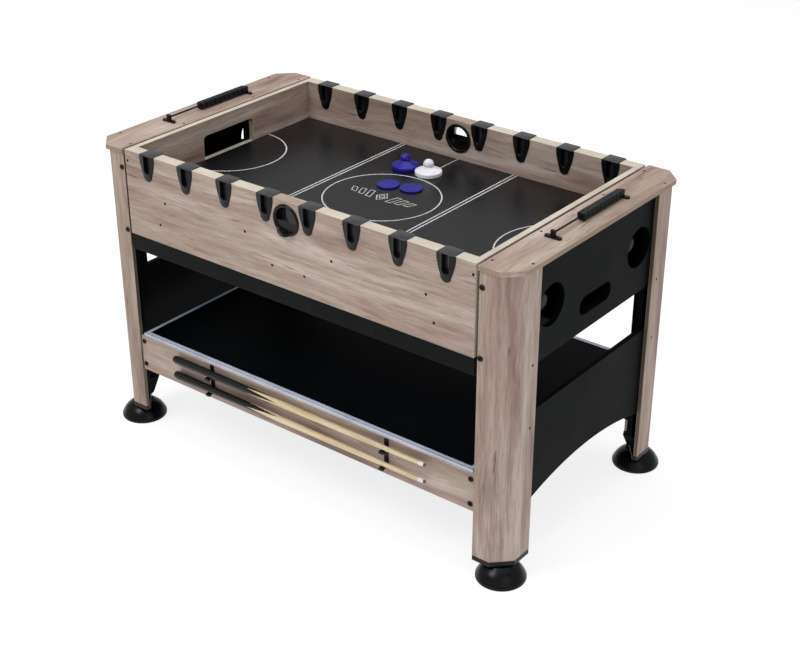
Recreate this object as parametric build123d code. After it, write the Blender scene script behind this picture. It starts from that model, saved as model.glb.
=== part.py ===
from build123d import *
import math
import os

# Combination game table: a two-sided playing box turns between two end frames.
# +X runs along the table, -Y is the player's side where the cues hang, +Z is up.
# The origin is on the floor under the middle of the table. Millimetres.

# Overall sizes
table_length = 1372.0
table_width = 766.0
table_height = 864.0

# End frames
shelf_width = 105.0
shelf_thickness = 13.0
shelf_chamfer = 44.0
shelf_overhang = 6.0
leg_board = 12.0
leg_chamfer = 46.0
leg_end_flat = 63.0
leg_setback = 1.0
leg_bottom = 63.0
leg_cap_thickness = 14.0
outer_board = 15.0
outer_panel_height = 264.0
outer_panel_tuck = 57.0
inner_board = 16.0
inner_panel_setback = 2.0
inner_panel_height = 251.0
apron_top = 459.0
apron_side_bottom = 200.0
apron_arch_rise = 38.0
hand_hole_diameter = 110.0
slot_length = 146.0
slot_height = 50.0
slot_height_above_floor = 656.0
inner_leg_board = 16.0
inner_leg_end_width = 64.0
foot_block_height = 49.0
foot_block_taper = 30.0
foot_block_inset = 16.0
cap_corner_inset = 14.0
stretcher_top = 298.0
stretcher_height = 108.0
stretcher_board = 15.0
stretcher_setback = 5.0
bracket_leg = 36.0
bracket_steel = 3.0
bracket_height = 96.0

# Levelling feet
foot_diameter = 130.0
foot_inset_x = 44.0
foot_inset_y = 50.0
foot_rim = 9.0
foot_neck_diameter = 60.0
foot_neck_gap = 3.0
foot_bulge = 3.0
foot_stem_diameter = 12.0
foot_stem_length = 62.0

# Turning playing box
box_end_gap = 7.0
box_side_inset = 5.0
rail_height = 242.5
rail_thickness = 34.0
skirt_height = 46.5
end_wall_thickness = 16.0
playfield_depth = 113.0
playfield_thickness = 15.0
goal_width = 200.0
goal_height = 69.0
goal_corner_radius = 12.0
bed_below_rail = 4.5
bed_thickness = 12.0
pool_rail_width = 56.0
cushion_width = 26.0
cushion_nose_height = 36.0
cushion_back_height = 14.0
pocket_radius = 33.0
pocket_wall = 3.0
pocket_depth = 62.0
pocket_wall_clearance = 4.0
side_pocket_mouth = 76.0
corner_pocket_mouth = 68.0
brace_thickness = 16.0
inner_brace_spacing = 108.0
outer_brace_spacing = 914.0

# Rod slots and their bushings
rod_count = 8
rod_spacing = 140.0
rod_slot_width = 20.0
rod_slot_depth = 50.0
bushing_top_width = 55.0
bushing_bottom_width = 30.0
bushing_drop = 72.0
bushing_plate = 4.0
bushing_liner = 2.0
bushing_cap_thickness = 2.5
bushing_cap_length = 50.0
cap_tongue_thickness = 16.0
cap_tongue_clearance = 0.2

# Ball entry cups, each with a ramp in its bore that lets the ball roll in over the rail
entry_drop = 50.5
entry_flange_diameter = 85.0
entry_bore_diameter = 66.0
entry_tube_wall = 4.0
entry_flange_thickness = 5.0
entry_lip_reach = 16.0
entry_ramp_drop = 4.0
entry_ramp_end = 26.0

# Pivot and locks
axle_diameter = 20.0
axle_plate_width = 70.0
axle_plate_height = 44.0
axle_plate_thickness = 4.0
axle_collar_diameter = 32.0
axle_collar_width = 8.0
axle_collar_gap = 2.0
bush_diameter = 28.0
bush_flange_diameter = 38.0
bush_flange_thickness = 3.0
running_clearance = 0.05
lock_inset = 67.0
lock_pin_diameter = 14.0
lock_hole_clearance = 1.0
lock_pin_tip_recess = 1.0
lock_travel = 20.0
lock_knob_diameter = 46.0
lock_knob_width = 24.0
lock_knob_gap = 2.0

# Catch trays
tray_half_width = 108.0
tray_wall = 6.0
tray_height = 118.0
tray_floor_drop = 3.0

# Scorers
scorer_length = 310.0
scorer_rod_diameter = 5.0
scorer_rod_height = 13.0
scorer_foot_width = 46.0
scorer_foot_depth = 12.0
scorer_foot_base = 5.0
scorer_post_width = 12.0
scorer_post_depth = 8.0
scorer_post_height = 20.0
bead_count = 10
bead_width = 22.0
bead_height = 20.0
bead_length = 17.5
bead_pitch = 18.5
bead_chamfer = 2.0
bead_clearance = 0.5

# Stored table tennis top
tennis_length = 1146.0
tennis_width = 736.0
tennis_thickness = 9.0

# Cues and their clips
cue_length = 876.0
cue_butt_diameter = 23.0
cue_tip_diameter = 11.0
cue_butt_x = -434.5
cue_heights = (277.0, 228.0)
clip_places = (-302.0, 309.0)
clip_width = 14.0
clip_steel = 2.0
clip_finger = 4.0
clip_reach = 25.5
clip_toe_length = 8.0
clip_toe_drop = 3.0
clip_top_margin = 20.0
clip_clearance = 0.3

# Pushers and pucks
pusher_diameter = 76.0
pusher_rim_height = 12.0
pusher_knob_diameter = 30.0
pusher_height = 44.0
pusher_edge = 2.0
pusher_neck = 2.0
puck_diameter = 63.5
puck_thickness = 5.0
pusher_places = {"pusher_blue": (-76.4, 200.0), "pusher_white": (2.0, 203.0)}
puck_places = {"puck_one": (-37.0, 74.0), "puck_two": (29.0, 90.0)}
lay_gap = 0.1

# Fasteners
screw_head_diameter = 8.0
screw_head_depth = 2.5
screw_shank_diameter = 4.0
screw_length = 40.0
screw_bite = 10.0
bolt_head_diameter = 15.0
bolt_head_height = 4.5
bolt_shank_diameter = 8.0
bolt_length = 34.0

# Heights and half sizes that several pieces share
half_length = table_length / 2
half_width = table_width / 2
shelf_inner = half_length - shelf_width
under_shelf = table_height - shelf_thickness
leg_outer_x = half_length - shelf_overhang
leg_outer_y = half_width - shelf_overhang
leg_inner_edge = shelf_inner + leg_setback
leg_back_x = leg_outer_x - leg_board
leg_back_y = leg_outer_y - leg_board
leg_end_y = leg_outer_y - leg_chamfer - leg_end_flat
leg_cut_sum = leg_outer_x + leg_outer_y - leg_chamfer - leg_board * math.sqrt(2)
inner_panel_face = shelf_inner + inner_panel_setback
inner_panel_back = inner_panel_face + inner_board
outer_panel_face = leg_back_x - outer_board
outer_panel_half = leg_end_y + outer_panel_tuck
lock_y = leg_end_y - lock_inset
foot_x = half_length - foot_inset_x
foot_y = half_width - foot_inset_y
foot_top = leg_bottom - leg_cap_thickness - foot_neck_gap
stretcher_outer = leg_outer_y - stretcher_setback
stretcher_back = stretcher_outer - stretcher_board
box_half_length = shelf_inner - box_end_gap
box_half_width = half_width - box_side_inset
box_top = table_height
rail_bottom = box_top - rail_height
box_bottom = rail_bottom - skirt_height
pivot_height = (box_top + box_bottom) / 2
keeper_half = lock_pin_diameter / 2 + lock_hole_clearance
rail_inner = box_half_width - rail_thickness
end_wall_inner = box_half_length - end_wall_thickness
playfield_top = box_top - playfield_depth
playfield_bottom = playfield_top - playfield_thickness
bed_face = rail_bottom - bed_below_rail
bed_back = bed_face + bed_thickness
pool_rail_inner_y = box_half_width - pool_rail_width
pool_rail_inner_x = box_half_length - pool_rail_width
nose_y = pool_rail_inner_y - cushion_width
nose_x = pool_rail_inner_x - cushion_width
pocket_outer = pocket_radius + pocket_wall
pocket_x = end_wall_inner - pocket_wall_clearance - pocket_outer
pocket_y = rail_inner - pocket_wall_clearance - pocket_outer
brace_places = [s * d / 2 for d in (inner_brace_spacing, outer_brace_spacing) for s in (-1, 1)]
rod_places = [rod_spacing * (i - (rod_count - 1) / 2) for i in range(rod_count)]
pocket_places = [(x, y * s) for x, y in ((-pocket_x, pocket_y), (0, pocket_y), (pocket_x, pocket_y))
                 for s in (-1, 1)]
sides = (("left", -1), ("right", 1))
fronts = (("front", -1), ("rear", 1))
corners = [(f"{fore}_{side}", sx, sy) for fore, sy in fronts for side, sx in sides]
pieces = {}


def block(x0, x1, y0, y1, z0, z1):
    """A box between two corners, given in any order along each axis."""
    return Pos((x0 + x1) / 2, (y0 + y1) / 2, (z0 + z1) / 2) * Box(abs(x1 - x0), abs(y1 - y0), abs(z1 - z0))


def slab(points, z0, z1):
    """An upright prism from plan points."""
    face = make_face(Polyline(*points, close=True))
    return Pos(0, 0, z0) * extrude(face, z1 - z0, dir=(0, 0, 1))


def rod_x(x0, x1, y, z, diameter):
    return Pos((x0 + x1) / 2, y, z) * Rot(0, 90, 0) * Cylinder(diameter / 2, abs(x1 - x0))


def rod_y(x, y0, y1, z, diameter):
    return Pos(x, (y0 + y1) / 2, z) * Rot(90, 0, 0) * Cylinder(diameter / 2, abs(y1 - y0))


def rod_z(x, y, z0, z1, diameter):
    return Pos(x, y, (z0 + z1) / 2) * Cylinder(diameter / 2, abs(z1 - z0))


def screw(place, into, length=screw_length):
    """A countersunk screw whose head is flush at place and whose shank runs along into."""
    turned = Plane(origin=place, z_dir=into)
    head = Pos(0, 0, screw_head_depth / 2) * Cone(
        screw_head_diameter / 2, screw_shank_diameter / 2, screw_head_depth)
    shank = Pos(0, 0, (screw_head_depth + length) / 2) * Cylinder(
        screw_shank_diameter / 2, length - screw_head_depth)
    return turned * (head + shank)


def bolt(place, into):
    """A button-head bolt whose head stands on the surface at place."""
    turned = Plane(origin=place, z_dir=into)
    head = Pos(0, 0, -bolt_head_height / 2) * Cylinder(bolt_head_diameter / 2, bolt_head_height)
    head = fillet(head.edges().sort_by(Axis.Z)[0], bolt_head_height / 2)
    socket = Pos(0, 0, -bolt_head_height) * extrude(RegularPolygon(2.5, 6), bolt_head_height / 2)
    shank = Pos(0, 0, bolt_length / 2) * Cylinder(bolt_shank_diameter / 2, bolt_length)
    return turned * (head - socket + shank)


def cut(board, tools):
    """The board less every tool, one by one so that clear tools cost nothing."""
    box = board.bounding_box()
    for tool in tools:
        other = tool.bounding_box()
        apart = any(
            getattr(box.max, a) < getattr(other.min, a) or getattr(other.max, a) < getattr(box.min, a)
            for a in ("X", "Y", "Z"))
        if not apart:
            board = board - tool
    return board


# Fasteners first, because the boards are drilled with them
leg_bolt_heights = (under_shelf - 42, under_shelf - inner_panel_height + 26)
stretcher_bolt_heights = (stretcher_top - 16, stretcher_top - stretcher_height + 20)
stretcher_bolt_x = leg_inner_edge - 12
frame_bolts = []
for name, sx, sy in corners:
    for z in leg_bolt_heights:
        x = sx * (inner_panel_face + inner_board / 2)
        frame_bolts.append(bolt((x, sy * leg_outer_y, z), (0, -sy, 0)))
    for z in stretcher_bolt_heights:
        frame_bolts.append(bolt((sx * stretcher_bolt_x, sy * stretcher_outer, z), (0, -sy, 0)))

shelf_screws = []
for side, sx in sides:
    for y in (140.0, half_width - 43):
        for sy in (-1, 1):
            x = sx * (inner_panel_face + inner_board / 2)
            shelf_screws.append(screw((x, sy * y, table_height), (0, 0, -1)))
    for sy in (-1, 1):
        x = sx * (leg_outer_x - leg_board / 2)
        shelf_screws.append(screw((x, sy * (leg_end_y + leg_end_flat / 2), table_height), (0, 0, -1)))
leg_screws = []
for name, sx, sy in corners:
    for z in (under_shelf - outer_panel_height + 13, apron_top - 30):
        leg_screws.append(screw((sx * leg_outer_x, sy * (leg_end_y + 22), z), (-sx, 0, 0)))

box_screws = []
box_screw_length = rail_thickness + screw_bite
end_wall_screw = (end_wall_inner + end_wall_thickness / 2, box_top - 30)
playfield_screws = [(x, playfield_bottom + playfield_thickness / 2) for x in (144.0, 433.0)]
pool_rail_screws = [(x, box_bottom + 17) for x in (66.0, 267.0)]
brace_screw_height = (bed_back + playfield_bottom) / 2 - 7
for sy in (-1, 1):
    y = sy * box_half_width
    for sx in (-1, 1):
        for x, z in [end_wall_screw] + playfield_screws + pool_rail_screws:
            box_screws.append(screw((sx * x, y, z), (0, -sy, 0), box_screw_length))
    for x in brace_places:
        box_screws.append(screw((x, y, brace_screw_height), (0, -sy, 0), box_screw_length))


# Legs: an outer board folded round the corner, two inner boards, a foot block and a cap
leg_caps = []
leg_inner_boards = []
foot_blocks = []
for name, sx, sy in corners:
    outline = [
        (leg_inner_edge, leg_outer_y),
        (leg_outer_x - leg_chamfer, leg_outer_y),
        (leg_outer_x, leg_outer_y - leg_chamfer),
        (leg_outer_x, leg_end_y),
        (leg_back_x, leg_end_y),
        (leg_back_x, leg_cut_sum - leg_back_x),
        (leg_cut_sum - leg_back_y, leg_back_y),
        (leg_inner_edge, leg_back_y),
    ]
    leg = slab([(sx * x, sy * y) for x, y in outline], leg_bottom, under_shelf)
    pieces[f"leg_{name}"] = cut(leg, frame_bolts + leg_screws + shelf_screws)

    cap_outline = outline[:4] + [
        (leg_back_x - 4, leg_end_y),
        (foot_x - cap_corner_inset, foot_y - cap_corner_inset - 3),
        (leg_inner_edge, leg_back_y - 4),
    ]
    cap = slab([(sx * x, sy * y) for x, y in cap_outline], leg_bottom - leg_cap_thickness, leg_bottom)
    hole = rod_z(sx * foot_x, sy * foot_y, 0, leg_bottom, foot_stem_diameter + 2 * running_clearance)
    leg_caps.append(cap - hole)

    block_in_x = foot_x - foot_block_inset
    block_in_y = outer_panel_half - inner_leg_end_width + 15
    block_top = leg_bottom + foot_block_height
    block_plan = [
        (block_in_x, block_in_y),
        (block_in_x, leg_back_y),
        (leg_cut_sum - leg_back_y, leg_back_y),
        (leg_back_x, leg_cut_sum - leg_back_x),
        (leg_back_x, block_in_y),
    ]
    foot_block = slab([(sx * x, sy * y) for x, y in block_plan], leg_bottom, block_top)
    slope = Plane.YZ * make_face(Polyline(
        (sy * block_in_y, leg_bottom), (sy * (block_in_y + foot_block_taper), leg_bottom),
        (sy * block_in_y, block_top), close=True))
    foot_block = foot_block - extrude(slope, half_length, both=True)
    stem_hole = rod_z(sx * foot_x, sy * foot_y, leg_bottom, block_top,
                      foot_stem_diameter + 2 * running_clearance)
    foot_blocks.append(foot_block - stem_hole)

    long_board = block(sx * (leg_inner_edge + 5), sx * (leg_cut_sum - leg_back_y), sy * leg_back_y,
                       sy * (leg_back_y - inner_leg_board), block_top, under_shelf - inner_panel_height)
    end_board_far = min(outer_panel_half + 15, leg_cut_sum - outer_panel_face)
    end_board = block(sx * outer_panel_face, sx * (outer_panel_face - inner_leg_board),
                      sy * end_board_far, sy * (end_board_far - inner_leg_end_width),
                      block_top, under_shelf)
    leg_inner_boards += [cut(long_board, frame_bolts), cut(end_board, leg_screws)]

    rim = foot_diameter / 2
    neck = foot_neck_diameter / 2
    stem = foot_stem_diameter / 2
    bulge_point = ((rim + neck) / 2 + foot_bulge, (foot_rim + foot_top) / 2 + foot_bulge)
    foot_profile = make_face([
        Polyline((0, 0), (rim, 0), (rim, foot_rim)),
        ThreePointArc((rim, foot_rim), bulge_point, (neck, foot_top)),
        Polyline((neck, foot_top), (stem, foot_top), (stem, foot_top + foot_stem_length),
                 (0, foot_top + foot_stem_length), (0, 0)),
    ])
    foot = revolve(Plane.XZ * foot_profile, Axis.Z)
    pieces[f"foot_{name}"] = Pos(sx * foot_x, sy * foot_y, 0) * foot

pieces["leg_caps"] = leg_caps
pieces["leg_inner_boards"] = leg_inner_boards
pieces["foot_blocks"] = foot_blocks
pieces["frame_bolts"] = frame_bolts
pieces["frame_screws"] = shelf_screws + leg_screws

# End frames: shelf, outer panel, inner panel with the pivot, arched apron, catch tray
trays = []
bearings = []
scorer_frames = []
for side, sx in sides:
    plan = [
        (shelf_inner, -half_width),
        (half_length - shelf_chamfer, -half_width),
        (half_length, -half_width + shelf_chamfer),
        (half_length, half_width - shelf_chamfer),
        (half_length - shelf_chamfer, half_width),
        (shelf_inner, half_width),
    ]
    shelf = slab([(sx * x, y) for x, y in plan], under_shelf, table_height)
    pieces[f"end_shelf_{side}"] = cut(shelf, shelf_screws)

    outer = block(sx * outer_panel_face, sx * leg_back_x, -outer_panel_half, outer_panel_half,
                  under_shelf - outer_panel_height, under_shelf)
    for sy in (-1, 1):
        outer = outer - rod_x(sx * (outer_panel_face - 1), sx * (leg_back_x + 1), sy * lock_y,
                              pivot_height, hand_hole_diameter)
    slot = Pos(sx * outer_panel_face, 0, slot_height_above_floor) * Rot(0, 90, 0) * extrude(
        Rot(0, 0, 90) * SlotOverall(slot_length, slot_height), 2 * outer_board, both=True)
    pieces[f"end_panel_outer_{side}"] = cut(outer - slot, leg_screws)

    inner = block(sx * inner_panel_face, sx * inner_panel_back, -leg_back_y, leg_back_y,
                  under_shelf - inner_panel_height, under_shelf)
    window = block(sx * (inner_panel_face - 1), sx * (inner_panel_back + 1),
                   -goal_width / 2, goal_width / 2,
                   playfield_top - 5, playfield_top + goal_height + 5)
    inner = inner - window - rod_x(sx * (inner_panel_face - 1), sx * (inner_panel_back + 1), 0,
                                   pivot_height, bush_diameter)
    for sy in (-1, 1):
        inner = inner - rod_x(sx * (inner_panel_face - 1), sx * (inner_panel_back + 1), sy * lock_y,
                              pivot_height, lock_pin_diameter + 2 * running_clearance)
    pieces[f"end_panel_inner_{side}"] = cut(inner, frame_bolts + shelf_screws)

    apron_face = make_face([
        Polyline((leg_end_y - 6, apron_side_bottom), (outer_panel_half, apron_side_bottom),
                 (outer_panel_half, apron_top), (-outer_panel_half, apron_top),
                 (-outer_panel_half, apron_side_bottom), (-leg_end_y + 6, apron_side_bottom)),
        ThreePointArc((-leg_end_y + 6, apron_side_bottom), (0, apron_side_bottom + apron_arch_rise),
                      (leg_end_y - 6, apron_side_bottom)),
    ])
    apron = extrude(Plane.YZ * apron_face, outer_board, dir=(1, 0, 0))
    apron = Pos(outer_panel_face if sx > 0 else -leg_back_x, 0, 0) * apron
    pieces[f"end_apron_{side}"] = cut(apron, leg_screws)

    slot_floor = slot_height_above_floor - slot_height / 2
    tray_bottom = slot_floor - tray_floor_drop - tray_wall
    tray = block(sx * inner_panel_back, sx * outer_panel_face, -tray_half_width, tray_half_width,
                 tray_bottom, tray_bottom + tray_height)
    hollow = block(sx * (inner_panel_back - 1), sx * (outer_panel_face - tray_wall),
                   -tray_half_width + tray_wall, tray_half_width - tray_wall,
                   tray_bottom + tray_wall, table_height)
    trays.append(tray - hollow - slot)

    sleeve = rod_x(sx * inner_panel_face, sx * inner_panel_back, 0, pivot_height, bush_diameter)
    flange = rod_x(sx * (inner_panel_face - bush_flange_thickness), sx * inner_panel_face, 0, pivot_height,
                   bush_flange_diameter)
    bore = rod_x(sx * (inner_panel_face - bush_flange_thickness - 1), sx * (inner_panel_back + 1), 0,
                 pivot_height, axle_diameter + 2 * running_clearance)
    bearings.append(sleeve + flange - bore)

    # Scorer: two T feet, a rod, a lead bead and the rest of its row
    scorer_x = sx * (half_length - shelf_width / 2)
    rod_height = table_height + scorer_rod_height
    frame = rod_y(scorer_x, -scorer_length / 2, scorer_length / 2, rod_height, scorer_rod_diameter)
    for sy in (-1, 1):
        y = sy * scorer_length / 2
        base = block(scorer_x - scorer_foot_width / 2, scorer_x + scorer_foot_width / 2,
                     y - scorer_foot_depth / 2, y + scorer_foot_depth / 2,
                     table_height, table_height + scorer_foot_base)
        base = fillet(base.edges().filter_by(Axis.Z), scorer_foot_depth / 2 - 0.5)
        post = block(scorer_x - scorer_post_width / 2, scorer_x + scorer_post_width / 2,
                     y - scorer_post_depth / 2, y + scorer_post_depth / 2,
                     table_height, table_height + scorer_post_height)
        frame = frame + base + post
    scorer_frames.append(frame)
    beads = []
    for i in range(bead_count):
        y = scorer_length / 2 - scorer_foot_depth / 2 - bead_pitch * (i + 0.5)
        bead = Pos(scorer_x, y, rod_height) * Box(bead_width, bead_length, bead_height)
        bead = chamfer(bead.edges().filter_by(Axis.Y), bead_chamfer)
        beads.append(bead - rod_y(scorer_x, y - bead_length, y + bead_length, rod_height,
                                  scorer_rod_diameter + 2 * bead_clearance))
    pieces[f"scorer_row_{side}"] = beads[:-1]
    pieces[f"scorer_lead_bead_{side}"] = beads[-1]

pieces["catch_trays"] = trays
pieces["pivot_bearings"] = bearings
pieces["scorer_frames"] = scorer_frames

# Stretchers with angle brackets to the legs
brackets = []
for fore, sy in fronts:
    stretcher = block(-leg_inner_edge, leg_inner_edge, sy * stretcher_outer, sy * stretcher_back,
                      stretcher_top - stretcher_height, stretcher_top)
    pieces[f"stretcher_{fore}"] = cut(stretcher, frame_bolts)
    for sx in (-1, 1):
        z0 = stretcher_top - stretcher_height / 2 - bracket_height / 2
        corner_x = leg_inner_edge + 5
        flat = block(sx * corner_x, sx * (corner_x - bracket_leg), sy * stretcher_back,
                     sy * (stretcher_back - bracket_steel), z0, z0 + bracket_height)
        ear = block(sx * corner_x, sx * (corner_x - bracket_steel), sy * stretcher_back,
                    sy * (stretcher_back - bracket_leg), z0, z0 + bracket_height)
        brackets.append(cut(flat + ear, frame_bolts))
pieces["stretcher_brackets"] = brackets

# Cue clips on the front stretcher: a strip with a finger under each cue, thicker at its toe
clips = []
cue_y = -(stretcher_outer + clip_steel + clip_clearance + cue_butt_diameter / 2)
for x in clip_places:
    share = (x - cue_butt_x) / cue_length
    radius = (cue_butt_diameter + (cue_tip_diameter - cue_butt_diameter) * share) / 2
    front = -stretcher_outer - clip_steel
    clip = block(x - clip_width / 2, x + clip_width / 2, -stretcher_outer, front,
                 min(cue_heights) - clip_top_margin, max(cue_heights) + clip_top_margin)
    for z in cue_heights:
        top = z - radius - clip_clearance - 1
        toe = -stretcher_outer - clip_reach
        clip = clip + block(x - clip_width / 2, x + clip_width / 2, front + 0.5, toe,
                            top - clip_finger, top)
        clip = clip + block(x - clip_width / 2, x + clip_width / 2, toe + clip_toe_length, toe,
                            top - clip_finger - clip_toe_drop, top)
    clips.append(clip)
pieces["cue_clips"] = clips

# Side rails of the playing box, with open rod slots and a ball entry hole
entry_height = box_top - entry_drop
entry_hole = entry_bore_diameter + 2 * entry_tube_wall
bushings = []
bushing_caps = []
entries = []


def rod_slot(x, y0, y1, width, depth):
    """A round-bottomed slot, open at the top of the rail."""
    bottom = box_top - depth + width / 2
    sides_of_slot = block(x - width / 2, x + width / 2, y0, y1, bottom, box_top + 1)
    return sides_of_slot + rod_y(x, y0, y1, bottom, width)


def bushing_outline(x):
    """The tapered shield round a rod slot, drawn in X and Z."""
    low = box_top - bushing_drop
    radius = bushing_bottom_width / 2
    top_half = bushing_top_width / 2
    return make_face([
        Polyline((x - radius, low + radius), (x - top_half, box_top - 12), (x - top_half, box_top),
                 (x + top_half, box_top), (x + top_half, box_top - 12), (x + radius, low + radius)),
        ThreePointArc((x - radius, low + radius), (x, low), (x + radius, low + radius)),
    ])


for fore, sy in fronts:
    rail = block(-box_half_length, box_half_length, sy * rail_inner, sy * box_half_width,
                 rail_bottom, box_top)
    liner_width = rod_slot_width + 2 * bushing_liner
    liner_depth = rod_slot_depth + bushing_liner
    for x in rod_places:
        rail = rail - rod_slot(x, sy * (rail_inner - 1), sy * (box_half_width + 1),
                               liner_width, liner_depth)
        middle = rail_inner + rail_thickness / 2
        for face_y, out in ((box_half_width, 1), (rail_inner, -1)):
            shield = extrude(Plane.XZ * bushing_outline(x), bushing_plate, dir=(0, sy * out, 0))
            shield = Pos(0, sy * face_y, 0) * shield
            sleeve = rod_slot(x, sy * middle, sy * face_y, liner_width, liner_depth)
            sleeve = sleeve & block(x - 50, x + 50, sy * (rail_inner - 9), sy * (box_half_width + 9),
                                    0, box_top)
            gap = rod_slot(x, sy * (rail_inner - 9), sy * (box_half_width + 9),
                           rod_slot_width, rod_slot_depth)
            bushings.append(shield + sleeve - gap)
        plate = block(x - bushing_cap_length / 2, x + bushing_cap_length / 2,
                      sy * (rail_inner - bushing_plate), sy * (box_half_width + bushing_plate),
                      box_top, box_top + bushing_cap_thickness)
        tongue = rod_slot(
            x, sy * (middle - cap_tongue_thickness / 2), sy * (middle + cap_tongue_thickness / 2),
            rod_slot_width - 2 * cap_tongue_clearance, rod_slot_depth - cap_tongue_clearance)
        bushing_caps.append(plate + tongue)
    rail = rail - rod_y(0, sy * (rail_inner - 1), sy * (box_half_width + 1), entry_height, entry_hole)
    pieces[f"side_rail_{fore}"] = cut(rail, box_screws)

    tube = rod_y(0, sy * rail_inner, sy * box_half_width, entry_height, entry_hole)
    outer_flange = rod_y(0, sy * box_half_width, sy * (box_half_width + entry_flange_thickness),
                         entry_height, entry_flange_diameter)
    inner_flange = rod_y(0, sy * rail_inner, sy * (rail_inner - entry_flange_thickness), entry_height,
                         entry_flange_diameter)
    lip = rod_y(0, sy * box_half_width, sy * (box_half_width + entry_lip_reach), entry_height, entry_hole)
    lip = lip & block(-60, 60, 0, sy * (box_half_width + 30), entry_height - 60, entry_height - 6)
    bore = rod_y(0, sy * (rail_inner - 20), sy * (box_half_width + 30), entry_height, entry_bore_diameter)
    ramp = Plane.YZ * make_face(Polyline(
        (sy * box_half_width, entry_height - entry_ramp_drop), (sy * box_half_width, entry_height - 60),
        (sy * rail_inner, entry_height - 60), (sy * rail_inner, entry_height - entry_ramp_end), close=True))
    ramp = extrude(ramp, entry_hole, both=True)
    ramp = ramp & rod_y(0, sy * rail_inner, sy * box_half_width, entry_height, entry_hole)
    entries.append(tube + outer_flange + inner_flange + lip - bore + ramp)

pieces["rod_bushings"] = bushings
pieces["bushing_caps"] = bushing_caps
pieces["ball_entries"] = entries

# End walls with goal openings, square keeper holes for the lock pins and the stub axles
axles = []
for side, sx in sides:
    wall = block(sx * end_wall_inner, sx * box_half_length, -rail_inner, rail_inner, rail_bottom, box_top)
    goal = block(sx * (end_wall_inner - 1), sx * (box_half_length + 1), -goal_width / 2, goal_width / 2,
                 playfield_top, playfield_top + goal_height)
    goal = fillet(goal.edges().filter_by(Axis.X).group_by(Axis.Z)[-1], goal_corner_radius)
    wall = wall - goal
    for sy in (-1, 1):
        wall = wall - block(sx * (end_wall_inner - 1), sx * (box_half_length + 1),
                            sy * lock_y - keeper_half, sy * lock_y + keeper_half,
                            pivot_height - keeper_half, pivot_height + keeper_half)
    pieces[f"end_wall_{side}"] = cut(wall, box_screws)

    plate = block(sx * box_half_length, sx * (box_half_length + axle_plate_thickness),
                  -axle_plate_width / 2, axle_plate_width / 2,
                  pivot_height - axle_plate_height / 2, pivot_height + axle_plate_height / 2)
    collar_at = inner_panel_back + axle_collar_gap
    collar_end = collar_at + axle_collar_width
    axle = rod_x(sx * box_half_length, sx * collar_end, 0, pivot_height, axle_diameter)
    collar = rod_x(sx * collar_at, sx * collar_end, 0, pivot_height, axle_collar_diameter)
    axles.append(plate + axle + collar)

    for fore, sy in fronts:
        knob_at = inner_panel_back + lock_travel + lock_knob_gap
        tip_at = inner_panel_face + lock_pin_tip_recess
        y = sy * lock_y
        pin = rod_x(sx * tip_at, sx * knob_at, y, pivot_height, lock_pin_diameter)
        knob = rod_x(sx * knob_at, sx * (knob_at + lock_knob_width), y, pivot_height, lock_knob_diameter)
        pieces[f"lock_pin_{fore}_{side}"] = pin + knob
pieces["pivot_axles"] = axles

# Playfield, cross braces and pool bed
playfield = block(-end_wall_inner, end_wall_inner, -rail_inner, rail_inner, playfield_bottom, playfield_top)
pieces["playfield"] = cut(playfield, box_screws)
braces = []
for x in brace_places:
    brace = block(x - brace_thickness / 2, x + brace_thickness / 2, -rail_inner, rail_inner,
                  bed_back, playfield_bottom)
    braces.append(cut(brace, box_screws))
pieces["cross_braces"] = braces
bed = block(-end_wall_inner, end_wall_inner, -rail_inner, rail_inner, bed_face, bed_back)
for x, y in pocket_places:
    bed = bed - rod_z(x, y, bed_face - 1, bed_back + 1, 2 * pocket_outer)
pieces["pool_bed"] = bed
pieces["pocket_cups"] = [
    rod_z(x, y, bed_face, bed_face + pocket_depth, 2 * pocket_outer)
    - rod_z(x, y, bed_face - 1, bed_face + pocket_depth - pocket_wall, 2 * pocket_radius)
    for x, y in pocket_places]

# Pool rails round the bed, notched for the pockets
notches = [rod_z(x, y, box_bottom - 1, bed_face, 2 * pocket_radius) for x, y in pocket_places]
long_rails = []
short_rails = []
for sy in (-1, 1):
    low = block(-box_half_length, box_half_length, sy * pool_rail_inner_y, sy * box_half_width,
                box_bottom, bed_face)
    step = block(-box_half_length, box_half_length, sy * rail_inner, sy * box_half_width,
                 bed_face, rail_bottom)
    long_rails.append(cut(low + step, notches + box_screws))
for sx in (-1, 1):
    low = block(sx * pool_rail_inner_x, sx * box_half_length, -pool_rail_inner_y, pool_rail_inner_y,
                box_bottom, bed_face)
    step = block(sx * end_wall_inner, sx * box_half_length, -rail_inner, rail_inner, bed_face, rail_bottom)
    short_rails.append(cut(low + step, notches))
pieces["pool_rails_long"] = long_rails
pieces["pool_rails_short"] = short_rails


def cushion(start, end, start_slant, end_slant):
    """A cushion strip along +X from start to end at its nose, its back on y = 0 and its nose at +Y.
    Each end is cut on a slant, longer at the back by the slant."""
    profile = make_face(Polyline(
        (0, bed_face), (0, box_bottom + 2), (cushion_width, bed_face - cushion_nose_height),
        (cushion_width * 0.35, bed_face - cushion_back_height), (cushion_width * 0.2, bed_face),
        close=True))
    strip = extrude(Plane.YZ * profile, end - start + 2 * cushion_width, dir=(1, 0, 0))
    strip = Pos(start - cushion_width, 0, 0) * strip
    plan = [(start - start_slant, 0), (start, cushion_width), (end, cushion_width), (end + end_slant, 0)]
    ends = slab(plan, box_bottom - 1, bed_face + 1)
    return strip & ends


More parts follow.
